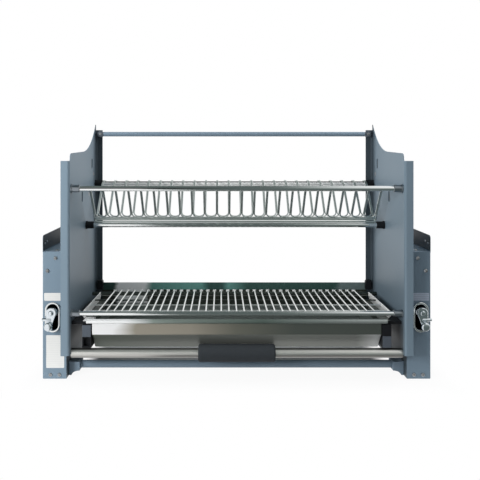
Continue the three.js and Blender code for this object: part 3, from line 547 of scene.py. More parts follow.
class Finishes:
    """All finishes of the rack, each built once."""

    grey_paint = PowderCoat("grey_powder_coat", "grey_paint", (0.175, 0.238, 0.3))
    panel_paint = PanelCoat("panel_powder_coat", "grey_paint", (0.185, 0.25, 0.305), 0.4, 0.28, 0.66, 0.2)
    box_paint = BoxCoat("box_powder_coat", "grey_paint", (0.175, 0.24, 0.3), 0.4, 0.9, 1.0, 0.16)
    # Plating darkened all over as painted shade, for the rear rail and the bowl rack's rear rod.
    shaded = ChromePlate("dull_rail", "chrome", (0.1, 0.115, 0.105), 0.35)
    dark_paint = PowderCoat("dark_powder_coat", "dark_paint", (0.045, 0.062, 0.075))
    chrome = ChromePlate("bright_chrome", "chrome", (0.83, 0.85, 0.85))
    wire = ChromePlate("chromed_wire", "chrome", (0.72, 0.77, 0.75), 0.26)
    bright_wire = ChromePlate("bright_wire", "chrome", (0.93, 0.95, 0.94), 0.26)
    mirror = MirrorSheet("polished_sheet", "stainless", (0.5, 0.55, 0.53))
    socket = ChromePlate("dull_plated_socket", "chrome", (0.3, 0.33, 0.36), 0.28)
    pale_tube = PaleTube("pale_tube", "chrome", (0.97, 0.97, 0.96))
    lined_tube = LinedTube("lined_tube", "chrome", (0.88, 0.9, 0.9))
    rolled_rim = RimRoll("rolled_rim", "stainless", (0.5, 0.5, 0.5))
    handle = SatinTube("satin_handle", "stainless", (0.82, 0.81, 0.77))
    cast = ChromePlate("cast_chrome", "chrome", (0.74, 0.79, 0.83), 0.14)
    tray = TraySheet("tray_sheet", "stainless", (0.07, 0.085, 0.07))
    spring = CoiledSteel("wound_spring", "plain_steel", (0.42, 0.43, 0.44))
    steel = ZincSteel("zinc_plated_steel", "plain_steel", (0.42, 0.43, 0.44))
    black_plastic = MouldedPlastic("black_moulding", "black_plastic", (0.012, 0.013, 0.015))
    grey_plastic = MouldedPlastic("grey_moulding", "grey_plastic", (0.09, 0.105, 0.125))
    foam = FoamSleeve("foam_sleeve", "foam", (0.035, 0.04, 0.045))
    rubber = MouldedPlastic("rubber_stop", "black_rubber", (0.015, 0.015, 0.016), 0.5)
    paper = StickerPaper("blank_label", "grey_paint", (0.72, 0.72, 0.7), 0.09)
    worn_paper = StickerPaper("worn_label", "grey_paint", (0.42, 0.48, 0.58), 0.5)

    def __init__(self) -> None:
        """Starts with nothing built."""
        self._made: dict[str, bpy.types.Material] = {}

    def get(self, finish: Finish) -> bpy.types.Material:
        """Builds a finish at its first use.

        Args:
            finish: The finish that is wanted.

        Returns:
            Its material.
        """
        if finish.name not in self._made:
            self._made[finish.name] = finish.make()
        return self._made[finish.name]


# Modelling


class Bench:
    """Models meshes with Blender's own operators, in millimetres."""

    @staticmethod
    def clear() -> None:
        """Leaves edit mode and deselects every object."""
        if bpy.context.object and bpy.context.object.mode != "OBJECT":
            bpy.ops.object.mode_set(mode="OBJECT")
        bpy.ops.object.select_all(action="DESELECT")

    @staticmethod
    def hold(*pieces: bpy.types.Object) -> None:
        """Selects only these pieces and makes the first the active one."""
        Bench.clear()
        for piece in pieces:
            piece.select_set(True)
        bpy.context.view_layer.objects.active = pieces[0]

    @staticmethod
    def settle() -> bpy.types.Object:
        """Puts the active piece's place, turn and scale into its mesh."""
        bpy.ops.object.transform_apply(location=True, rotation=True, scale=True)
        return bpy.context.object

    @staticmethod
    def edit(piece: bpy.types.Object) -> None:
        """Enters edit mode on one piece, with all of it selected."""
        Bench.hold(piece)
        bpy.ops.object.mode_set(mode="EDIT")
        bpy.ops.mesh.select_all(action="SELECT")

    @staticmethod
    def choose(piece: bpy.types.Object, part: Part, test: Test) -> int:
        """Selects the faces or edges of the piece in edit mode that pass a test.

        Args:
            piece: The piece in edit mode.
            part: Faces or edges.
            test: Takes a middle and a normal, or an edge's direction.

        Returns:
            How many were selected.
        """
        bpy.ops.mesh.select_all(action="DESELECT")
        bpy.ops.mesh.select_mode(type=part.value)
        mesh = bmesh.from_edit_mesh(piece.data)
        count = 0
        if part is Part.FACES:
            for face in mesh.faces:
                if test(face.calc_center_median(), face.normal):
                    face.select_set(True)
                    count += 1
        else:
            for edge in mesh.edges:
                start, end = (corner.co for corner in edge.verts)
                if test((start + end) / 2, (end - start).normalized()):
                    edge.select_set(True)
                    count += 1
        bmesh.update_edit_mesh(piece.data)
        return count

    @staticmethod
    def tidy(piece: bpy.types.Object) -> bpy.types.Object:
        """Merges doubles and turns all faces outwards."""
        Bench.edit(piece)
        bpy.ops.mesh.remove_doubles(threshold=0.001)
        bpy.ops.mesh.normals_make_consistent(inside=False)
        Bench.clear()
        return piece

    @staticmethod
    def block(low: Point, high: Point) -> bpy.types.Object:
        """Adds a box between two corners."""
        Bench.clear()
        middle = (Vector(low) + Vector(high)) / 2
        bpy.ops.mesh.primitive_cube_add(size=1, location=middle, scale=Vector(high) - Vector(low))
        return Bench.settle()

    @staticmethod
    def rod(radius: float, low: Point, length: float, axis: Axis, sides: int = 40) -> bpy.types.Object:
        """Adds a cylinder that starts at one end's middle and runs along an axis."""
        Bench.clear()
        middle = Vector(low) + axis.line * length / 2
        bpy.ops.mesh.primitive_cylinder_add(
            vertices=sides, radius=radius, depth=length, location=middle, rotation=axis.value
        )
        return Bench.settle()

    @staticmethod
    def draw(points: Sequence[Point], filled: bool = True) -> bpy.types.Object:
        """Draws an outline by extruding a corner from point to point.

        Args:
            points: The outline's corners.
            filled: Whether a face closes it.

        Returns:
            The piece, in object mode.
        """
        Bench.clear()
        bpy.ops.mesh.primitive_plane_add(size=1, location=points[0])
        piece = Bench.settle()
        Bench.edit(piece)
        bpy.ops.mesh.merge(type="CENTER")
        bpy.ops.mesh.select_all(action="SELECT")
        last = Vector(points[0])
        for point in points[1:]:
            step = Vector(point) - last
            bpy.ops.mesh.extrude_vertices_move(TRANSFORM_OT_translate={"value": step})
            last = Vector(point)
        if filled:
            bpy.ops.mesh.select_all(action="SELECT")
            bpy.ops.mesh.edge_face_add()
        Bench.clear()
        return piece

    @staticmethod
    def slab(points: Sequence[Point], depth: Point, edge: float = 0.0, steps: int = 2) -> bpy.types.Object:
        """Draws an outline, pulls it out to a slab and rounds its edges.

        Args:
            points: The outline's corners.
            depth: How far the outline is pulled out.
            edge: The radius of its edges.
            steps: How many faces round an edge.

        Returns:
            The piece.
        """
        piece = Bench.draw(points)
        Bench.edit(piece)
        bpy.ops.mesh.extrude_region_move(TRANSFORM_OT_translate={"value": depth})
        Bench.tidy(piece)
        return Bench.soften(piece, edge, steps) if edge else piece

    @staticmethod
    def turned(profile: Sequence[tuple[float, float]], centre: Point, axis: Axis, steps: int = 40) -> bpy.types.Object:
        """Turns a profile of radii and heights about an axis.

        Args:
            profile: Radius and height along the axis of each corner.
            centre: Where height 0 lies on the axis.
            axis: The axis.
            steps: How many faces go round.

        Returns:
            The piece, closed at its poles.
        """
        side = Vector((0, 0, 1)) if axis is not Axis.Z else Vector((1, 0, 0))
        points = [Vector(centre) + side * radius + axis.line * height for radius, height in profile]
        piece = Bench.draw(points, filled=False)
        Bench.edit(piece)
        bpy.ops.mesh.spin(steps=steps, angle=2 * math.pi, center=centre, axis=axis.line)
        return Bench.tidy(piece)

    @staticmethod
    def wire(
        path: Sequence[Point], radius: float, bends: Sequence[float], sides: int = 10, steps: int = 5,
    ) -> bpy.types.Object:
        """Bends a round wire along a path of straight runs.

        Args:
            path: The corners of the path.
            radius: The wire's radius.
            bends: The radius of its middle line at each corner between the ends.
            sides: How many faces go round the wire.
            steps: How many steps each bend takes.

        Returns:
            The piece, closed at both ends.
        """
        corners = [Vector(point) for point in path]
        way = (corners[1] - corners[0]).normalized()
        Bench.clear()
        bpy.ops.mesh.primitive_circle_add(
            vertices=sides, radius=radius, fill_type="NOTHING", location=corners[0],
            rotation=way.to_track_quat("Z", "Y").to_euler(),
        )
        piece = Bench.settle()
        Bench.edit(piece)
        at = corners[0]
        for corner, after, bend in zip(corners[1:-1], corners[2:], bends):
            onward = (after - corner).normalized()
            turn = way.angle(onward)
            trim = bend * math.tan(turn / 2)
            start = corner - way * trim
            if (start - at).length > 0.01:
                bpy.ops.mesh.extrude_edges_move(TRANSFORM_OT_translate={"value": start - at})
            normal = way.cross(onward).normalized()
            centre = start + normal.cross(way) * bend
            bpy.ops.mesh.spin(steps=steps, angle=turn, center=centre, axis=-normal)
            at, way = corner + onward * trim, onward
        bpy.ops.mesh.extrude_edges_move(TRANSFORM_OT_translate={"value": corners[-1] - at})
        bpy.ops.mesh.select_all(action="SELECT")
        bpy.ops.mesh.fill_holes(sides=0)
        return Bench.tidy(piece)

    @staticmethod
    def soften(piece: bpy.types.Object, width: float, steps: int = 2, angle: float = 35.0) -> bpy.types.Object:
        """Rounds every edge that is sharper than an angle."""
        Bench.hold(piece)
        bevel = piece.modifiers.new("edges", "BEVEL")
        bevel.width = width
        bevel.segments = steps
        bevel.angle_limit = math.radians(angle)
        bevel.use_clamp_overlap = True
        bpy.ops.object.modifier_apply(modifier=bevel.name)
        return piece

    @staticmethod
    def thicken(piece: bpy.types.Object, thickness: float, offset: float) -> bpy.types.Object:
        """Gives a sheet its thickness, to the side that offset says."""
        Bench.hold(piece)
        wall = piece.modifiers.new("sheet", "SOLIDIFY")
        wall.thickness = thickness
        wall.offset = offset
        wall.use_even_offset = True
        bpy.ops.object.modifier_apply(modifier=wall.name)
        return piece

    @staticmethod
    def cut(piece: bpy.types.Object, *tools: bpy.types.Object, solver: str = "EXACT") -> bpy.types.Object:
        """Cuts other solids out of a piece."""
        for tool in tools:
            Bench.hold(piece)
            hole = piece.modifiers.new("hole", "BOOLEAN")
            hole.operation = "DIFFERENCE"
            hole.solver = solver
            hole.object = tool
            bpy.ops.object.modifier_apply(modifier=hole.name)
            bpy.data.objects.remove(tool)
        return piece

    @staticmethod
    def join(pieces: Sequence[bpy.types.Object]) -> bpy.types.Object:
        """Makes one piece of several."""
        Bench.hold(*pieces)
        if len(pieces) > 1:
            bpy.ops.object.join()
        return bpy.context.object

    @staticmethod
    def copy(piece: bpy.types.Object, shift: Point = (0, 0, 0)) -> bpy.types.Object:
        """Copies a piece with its mesh and sets the copy at a distance."""
        twin = piece.copy()
        twin.data = piece.data.copy()
        bpy.context.scene.collection.objects.link(twin)
        twin.data.transform(Matrix.Translation(shift))
        return twin

    @staticmethod
    def mirrored(piece: bpy.types.Object) -> bpy.types.Object:
        """Copies a piece to the other side of the middle plane."""
        twin = Bench.copy(piece)
        Bench.hold(twin)
        twin.scale = (-1.0, 1.0, 1.0)
        Bench.settle()
        return Bench.tidy(twin)


def arc(centre: tuple[float, float], radius: float, start: float, end: float, steps: int) -> list[tuple[float, float]]:
    """Gives points on an arc, both ends included, with angles in degrees."""
    angles = [math.radians(start + (end - start) * step / steps) for step in range(steps + 1)]
    return [(centre[0] + radius * math.cos(a), centre[1] + radius * math.sin(a)) for a in angles]


def curve(
    start: tuple[float, float], pull: tuple[float, float], end: tuple[float, float], steps: int,
) -> list[tuple[float, float]]:
    """Gives points on a curve that leaves and arrives along its pull point, both ends included."""
    points = []
    for step in range(steps + 1):
        t = step / steps
        points.append(tuple(
            (1 - t) ** 2 * a + 2 * t * (1 - t) * b + t ** 2 * c for a, b, c in zip(start, pull, end)
        ))
    return points


def oblong(u: float, v: float, width: float, length: float, steps: int = 12) -> list[tuple[float, float]]:
    """Gives the outline of an upright oblong with round ends."""
    radius = width / 2
    straight = length / 2 - radius
    top = arc((u, v + straight), radius, 0, 180, steps)
    return top + arc((u, v - straight), radius, 180, 360, steps)


def side_view(x: float, outline: Iterable[tuple[float, float]]) -> list[Point]:
    """Sets an outline of back and height in the plane at x."""
    return [(x, at_back(back), z) for back, z in outline]


def front_view(back: float, outline: Iterable[tuple[float, float]]) -> list[Point]:
    """Sets an outline of x and height in the plane that lies back behind the front."""
    return [(x, at_back(back), z) for x, z in outline]


class SubAssembly(ABC):
    """A group of pieces that is built together."""

    finishes: Finishes

    @abstractmethod
    def build(self) -> None:
        """Builds and dresses every piece of the group."""

    def complete(
        self, piece: bpy.types.Object, name: str, body: str, finish: Finish, stands_for: Sequence[str] = (),
        smooth: float = 32.0,
    ) -> bpy.types.Object:
        """Scales a piece to metres, names and dresses it and lets it ride on its body.

        Args:
            piece: The piece, in millimetres.
            name: Its name.
            body: The body that it moves with.
            finish: Its finish.
            stands_for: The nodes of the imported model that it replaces.
            smooth: The angle in degrees up to which edges look round.

        Returns:
            The finished piece.
        """
        Bench.hold(piece)
        piece.scale = (METRES, METRES, METRES)
        Bench.settle()
        piece.name = name
        piece.data.name = name
        piece.data.materials.clear()
        piece.data.materials.append(self.finishes.get(finish))
        bpy.ops.object.shade_smooth_by_angle(angle=math.radians(smooth))
        flats = piece.modifiers.new("flats", "WEIGHTED_NORMAL")
        flats.keep_sharp = True
        bpy.ops.object.modifier_apply(modifier=flats.name)
        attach(piece, body)
        if stands_for:
            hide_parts(*stands_for)
        LOG.info("%s: %d faces on %s", name, len(piece.data.polygons), body)
        Bench.clear()
        return piece

    def pair(
        self, piece: bpy.types.Object, name: str, body: str, finish: Finish, stands_for: Sequence[str] = (),
        smooth: float = 32.0,
    ) -> None:
        """Completes a right hand piece and its mirror image on the left.

        Args:
            piece: The right hand piece, in millimetres.
            name: The name without its side.
            body: The body, with a star where the side's name goes.
            finish: The finish of both.
            stands_for: The nodes that they replace, without their side.
            smooth: The angle in degrees up to which edges look round.
        """
        twin = Bench.mirrored(piece)
        for side, one in ((Side.RIGHT, piece), (Side.LEFT, twin)):
            nodes = [f"{node}_{side.word}" for node in stands_for]
            self.complete(one, f"{name}_{side.word}", body.replace("*", side.word), finish, nodes, smooth)


@dataclass
class SidePanels(SubAssembly):
    """The two folded side panels with the studs of their arms."""

    finishes: Finishes
    depth: float = 267.0
    sheet: float = 1.5
    middle_x: float = 365.7
    bottom_z: float = 60.0
    front_top_z: float = 502.0
    crest: tuple[float, float] = (128.16, 507.0)
    sweep: tuple[float, float] = (205.6, 511.0)
    peak_z: float = 579.9
    peak_width: float = 7.0
    corner: float = 12.0
    front_inset: float = 9.0
    bend: float = 5.0
    front_flange: float = 18.3
    front_flange_top_z: float = 485.0
    rear_flange: float = 17.0
    rear_flange_top_z: float = 566.0
    slots: tuple[tuple[float, float], ...] = ((215.0, 478.0), (114.0, 400.0))
    slot_size: tuple[float, float] = (12.0, 26.0)
    cap_size: tuple[float, float] = (18.0, 32.0)
    pivots: tuple[tuple[float, float], ...] = ((182.65, 401.78), (232.15, 451.28))
    stud_head_x: float = 375.95

    def outline(self) -> list[tuple[float, float]]:
        """Gives the web's outline between the two folds, as back and height."""
        front = self.bend + self.sheet / 2
        rear = self.depth - front
        points = [(front, self.bottom_z), (rear, self.bottom_z), (rear, self.rear_flange_top_z)]
        points += curve((rear, self.peak_z - 1.5), (rear, self.peak_z), (rear - 1.5, self.peak_z), 4)
        points += curve((self.depth - self.peak_width, self.peak_z), self.sweep, self.crest, 22)
        inset, top, low = self.front_inset, self.front_top_z, self.front_flange_top_z
        points += curve((inset + self.corner, top), (inset, top), (inset, top - self.corner), 6)
        points += curve((inset, top - self.corner), (inset, low + 1), (front, low), 6)[1:]
        return points

    def panel(self) -> bpy.types.Object:
        """Draws the web, bends out both flanges, gives the sheet its thickness and cuts the slots."""
        piece = Bench.draw(side_view(self.middle_x, self.outline()))
        front = at_back(self.bend + self.sheet / 2)
        rear = at_back(self.depth - self.bend - self.sheet / 2)
        Bench.edit(piece)
        for y, way, width, top in (
            (front, 1.0, self.front_flange, self.front_flange_top_z),
            (rear, -1.0, self.rear_flange, self.rear_flange_top_z),
        ):
            middle = (self.bottom_z + top) / 2
            Bench.choose(
                piece, Part.EDGES,
                lambda at, line, y=y, middle=middle: abs(at.y - y) < 0.01 and abs(at.z - middle) < 0.01,
            )
            centre = (self.middle_x + way * self.bend, y, 0)
            bpy.ops.mesh.spin(steps=6, angle=math.pi / 2, center=centre, axis=(0, 0, -1))
            reach = way * (width - self.bend)
            bpy.ops.mesh.extrude_edges_move(TRANSFORM_OT_translate={"value": (reach, 0, 0)})
        Bench.clear()
        Bench.tidy(piece)
        Bench.thicken(piece, self.sheet, 0.0)
        tools = [
            Bench.slab(side_view(self.middle_x - 5, oblong(back, z, *self.slot_size)), (10, 0, 0))
            for back, z in self.slots
        ]
        Bench.cut(piece, *tools, solver="FAST")
        return Bench.soften(piece, 0.35, 2, 50)

    def slot_caps(self) -> bpy.types.Object:
        """Cuts the thin dark caps that close the slots from the outer side."""
        x = self.middle_x + self.sheet / 2
        caps = [
            Bench.slab(side_view(x, oblong(back, z, *self.cap_size)), (0.8, 0, 0), 0.25)
            for back, z in self.slots
        ]
        return Bench.join(caps)

    def studs(self) -> bpy.types.Object:
        """Turns the two studs that the arms hang on."""
        head = self.stud_head_x
        profile = [
            (0, self.middle_x - 1), (5, self.middle_x - 1), (5, head), (7.2, head), (7.5, head + 0.3),
            (7.5, head + 1.3), (6.9, head + 1.8), (0, head + 1.8),
        ]
        return Bench.join([Bench.turned(profile, (0, at_back(back), z), Axis.X, 32) for back, z in self.pivots])

    def build(self) -> None:
        """Builds both panels, the caps of their slots and their studs."""
        self.pair(self.panel(), "folded_panel", "basket", Finishes.panel_paint, ["side_panel"])
        self.pair(self.slot_caps(), "slot_caps", "basket", Finishes.dark_paint)
        self.pair(self.studs(), "panel_studs", "basket", Finishes.steel)


@dataclass
class MechanismBoxes(SubAssembly):
    """The two boxes that are screwed to the cabinet's sides."""

    finishes: Finishes
    inner_x: float = 379.0
    outer_x: float = 432.0
    front: float = 28.5
    rear: float = 261.0
    height: float = 283.0
    sheet: float = 1.5
    ear_height: float = 36.0
    ear_rise: float = 4.0
    slot: tuple[float, float, float, float] = (409.0, 137.5, 25.0, 58.0)
    bolts: tuple[tuple[float, float], ...] = ((403.0, 268.5), (421.0, 240.5), (394.5, 9.0), (414.5, 9.0))

    def casing(self) -> bpy.types.Object:
        """Opens a box on its inner side, gives it sheet walls, rounds the folds and cuts the slot."""
        box = Bench.block(
            (self.inner_x, at_back(self.front), 0), (self.outer_x, at_back(self.rear), self.height)
        )
        Bench.edit(box)
        Bench.choose(box, Part.FACES, lambda at, normal: normal.x < -0.9)
        bpy.ops.mesh.delete(type="FACE")
        Bench.choose(box, Part.EDGES, lambda at, line: at.x > self.outer_x - 1)
        bpy.ops.mesh.bevel(offset=2.0, segments=4, affect="EDGES")
        Bench.clear()
        Bench.thicken(box, self.sheet, -1.0)
        x, z, width, length = self.slot
        Bench.cut(box, Bench.slab(front_view(self.front - 5, oblong(x, z, width, length)), (0, 12, 0)))
        return Bench.soften(box, 0.25, 2, 50)

    def ear(self) -> bpy.types.Object:
        """Cuts the ear of the outer side plate, with its round front corner and screw hole."""
        top = self.height + self.ear_height
        outline = [(self.front, self.height - 2), (self.rear, self.height - 2), (self.rear, top + self.ear_rise)]
        outline += curve((self.front + 8, top + 0.1), (self.front, top), (self.front, top - 8), 8)
        plate = Bench.slab(side_view(self.outer_x - self.sheet, outline), (self.sheet, 0, 0))
        hole = Bench.rod(2.4, (self.outer_x - 5, at_back(60), self.height + 20), 10, Axis.X, 24)
        return Bench.soften(Bench.cut(plate, hole), 0.25, 2, 50)

    def bolt(self, x: float, z: float) -> bpy.types.Object:
        """Turns a pan head screw with a six sided recess that faces the front."""
        y = at_back(self.front)
        head = Bench.turned(
            [(0, -2.4), (2.6, -2.3), (3.8, -1.6), (4.2, -0.6), (4.2, 0.2), (0, 0.2)], (x, y, z), Axis.Y, 28
        )
        recess = Bench.rod(1.7, (x, y - 3.5, z), 2.4, Axis.Y, 6)
        return Bench.cut(head, recess)

    def top_bolt(self) -> bpy.types.Object:
        """Turns the screw that stands on the top plate, and the rivet of the ear."""
        head = Bench.turned(
            [(0, 2.6), (2.8, 2.4), (4.0, 1.6), (4.4, 0.5), (4.4, -0.2), (0, -0.2)],
            (404, at_back(self.front + 16), self.height), Axis.Z, 28,
        )
        rivet = Bench.turned(
            [(0, -1.6), (1.8, -1.4), (2.8, -0.7), (3.0, 0.1), (0, 0.1)],
            (self.outer_x - self.sheet, at_back(self.front + 12), self.height + 17), Axis.X, 24,
        )
        return Bench.join([head, rivet])

    def label(self, low: tuple[float, float], high: tuple[float, float]) -> bpy.types.Object:
        """Cuts a blank label with round corners for the front wall."""
        (x0, z0), (x1, z1), r = low, high, 2.0
        outline = arc((x1 - r, z1 - r), r, 0, 90, 4) + arc((x0 + r, z1 - r), r, 90, 180, 4)
        outline += arc((x0 + r, z0 + r), r, 180, 270, 4) + arc((x1 - r, z0 + r), r, 270, 360, 4)
        return Bench.slab(front_view(self.front - 0.18, outline), (0, 0.17, 0))

    def build(self) -> None:
        """Builds the casings, screws and labels."""
        body = Bench.join([self.casing(), self.ear()])
        self.pair(body, "box_casing", "boxes", Finishes.box_paint, ["mechanism_box"])
        screws = Bench.join([*(self.bolt(x, z) for x, z in self.bolts), self.top_bolt()])
        self.pair(screws, "box_screws", "boxes", Finishes.steel)
        upper = self.label((384.5, 173.5), (428.5, 191))
        left = Bench.mirrored(upper)
        self.complete(left, "blank_label_upper_left", "boxes", Finishes.paper)
        self.complete(upper, "blank_label_upper_right", "boxes", Finishes.worn_paper)
        lower = self.label((-424, 24), (-384, 97))
        self.complete(lower, "blank_label_lower", "boxes", Finishes.paper)


@dataclass
class Adjusters(SubAssembly):
    """The oblong bezel and the crank on the front of each box."""

    finishes: Finishes
    x: float = 409.0
    z: float = 137.5
    width: float = 34.0
    length: float = 67.0
    rim: float = 4.5
    depth: float = 4.0
    back: float = 28.2
    hub_z: float = 149.5
    hub_radius: float = 12.05
    arm_back: float = 17.0
    arm_thickness: float = 4.0
    throw: float = 29.0
    lean: float = 9.0
    knob_radius: float = 9.5

    def bezel(self) -> bpy.types.Object:
        """Cuts the oblong ring and rounds its rim."""
        ring = Bench.slab(
            front_view(self.back - self.depth, oblong(self.x, self.z, self.width, self.length, 20)),
            (0, self.depth, 0),
        )
        inner = oblong(self.x, self.z, self.width - 2 * self.rim, self.length - 2 * self.rim, 20)
        Bench.cut(ring, Bench.slab(front_view(self.back - 10, inner), (0, 20, 0)))
        return Bench.soften(ring, 1.5, 5, 50)

    def crank(self) -> bpy.types.Object:
        """Models the hub, the tapered arm, the knob and the nub, as one casting."""
        tilt = math.radians(self.lean)
        knob_x = self.x + self.throw * math.sin(tilt)
        knob_z = self.hub_z - self.throw * math.cos(tilt)
        arm_y = at_back(self.arm_back - self.arm_thickness)
        hub = Bench.turned([
            (0, -self.arm_thickness - 2.2), (4.0, -self.arm_thickness - 2.2), (5.2, -self.arm_thickness - 1.6),
            (6.0, -self.arm_thickness), (self.hub_radius - 1.2, -self.arm_thickness + 0.1),
            (self.hub_radius - 0.2, -self.arm_thickness + 1.1), (self.hub_radius, 0.0), (self.hub_radius, 13.0),
            (6.0, 13.0), (6.0, 39.0), (0, 39.0),
        ], (self.x, at_back(self.arm_back), self.hub_z), Axis.Y, 48)
        outline = arc((0, 0), self.hub_radius - 0.6, 0, 180, 16) + arc((0, -self.throw), 6.2, 180, 360, 12)
        turned = [
            (self.x + u * math.cos(tilt) - v * math.sin(tilt), self.hub_z + v * math.cos(tilt) + u * math.sin(tilt))
            for u, v in outline
        ]
        arm = Bench.slab([(x, arm_y, z) for x, z in turned], (0, self.arm_thickness, 0), 1.2, 4)
        r = self.knob_radius
        knob = Bench.turned([
            (0, -8.0), (r - 3.6, -8.0), (r - 1.4, -7.4), (r - 0.2, -5.8), (r, -4.0), (r - 0.5, 0.4), (r - 2.2, 2.6),
            (5.4, 4.0), (0, 4.0),
        ], (knob_x, arm_y, knob_z), Axis.Y, 40)
        nub_z = (self.hub_z + knob_z) / 2
        nub = Bench.turned(
            [(0, 0), (3.3, 0), (3.3, 17.6), (3.5, 18.4), (3.1, 19.6), (2.2, 20.05), (0, 20.05)],
            (self.x, arm_y + self.arm_thickness / 2, nub_z), Axis.X, 28,
        )
        return Bench.join([hub, arm, knob, nub])

    def build(self) -> None:
        """Builds both bezels and both cranks."""
        self.pair(self.bezel(), "oblong_bezel", "boxes", Finishes.chrome, ["slot_bezel"], 40)
        self.pair(self.crank(), "cast_crank", "crank_*", Finishes.cast, ["adjuster_crank"], 40)


@dataclass
class SwingArms(SubAssembly):
    """The two parallel arms on each side and the heads that hold them."""

    finishes: Finishes
    length: float = 300.0
    lean: float = 15.0
    width: float = 26.0
    thickness: float = 5.0
    middle_x: float = 373.0
    pivots: tuple[tuple[str, float, float, float], ...] = (
        ("main_arm", 105.0, 112.0, 8.3), ("guide_arm", 154.5, 161.5, 5.45),
    )

    def arm(self, back: float, z: float, bore: float) -> bpy.types.Object:
        """Cuts one arm with round ends and two bores, and presses a long rib into it."""
        r = self.width / 2
        tilt = math.radians(self.lean)
        flat = arc((0, 0), r, 180, 360, 20) + arc((0, self.length), r, 0, 180, 20)

        def leaned(points: Iterable[tuple[float, float]]) -> list[tuple[float, float]]:
            """Leans an outline of the upright arm back about its lower pivot."""
            return [
                (back + u * math.cos(tilt) + v * math.sin(tilt), z + v * math.cos(tilt) - u * math.sin(tilt))
                for u, v in points
            ]

        x0 = self.middle_x - self.thickness / 2
        plate = Bench.slab(side_view(x0, leaned(flat)), (self.thickness, 0, 0))
        tools = []
        for along, radius in ((0.0, bore), (self.length, 5.45)):
            (u, v), = leaned([(0, along)])
            tools.append(Bench.rod(radius, (x0 - 2, at_back(u), v), self.thickness + 4, Axis.X, 32))
        rib = arc((0, 40), 3.5, 180, 360, 8) + arc((0, self.length - 40), 3.5, 0, 180, 8)
        for x in (x0 - 1.2, x0 + self.thickness - 0.8):
            tools.append(Bench.slab(side_view(x, leaned(rib)), (2, 0, 0)))
        return Bench.soften(Bench.cut(plate, *tools), 0.5, 2, 50)

    def build(self) -> None:
        """Builds the arms of both sides."""
        for name, back, z, bore in self.pivots:
            self.pair(self.arm(back, z, bore), f"ribbed_{name}", f"{name}_*", Finishes.steel, [name])


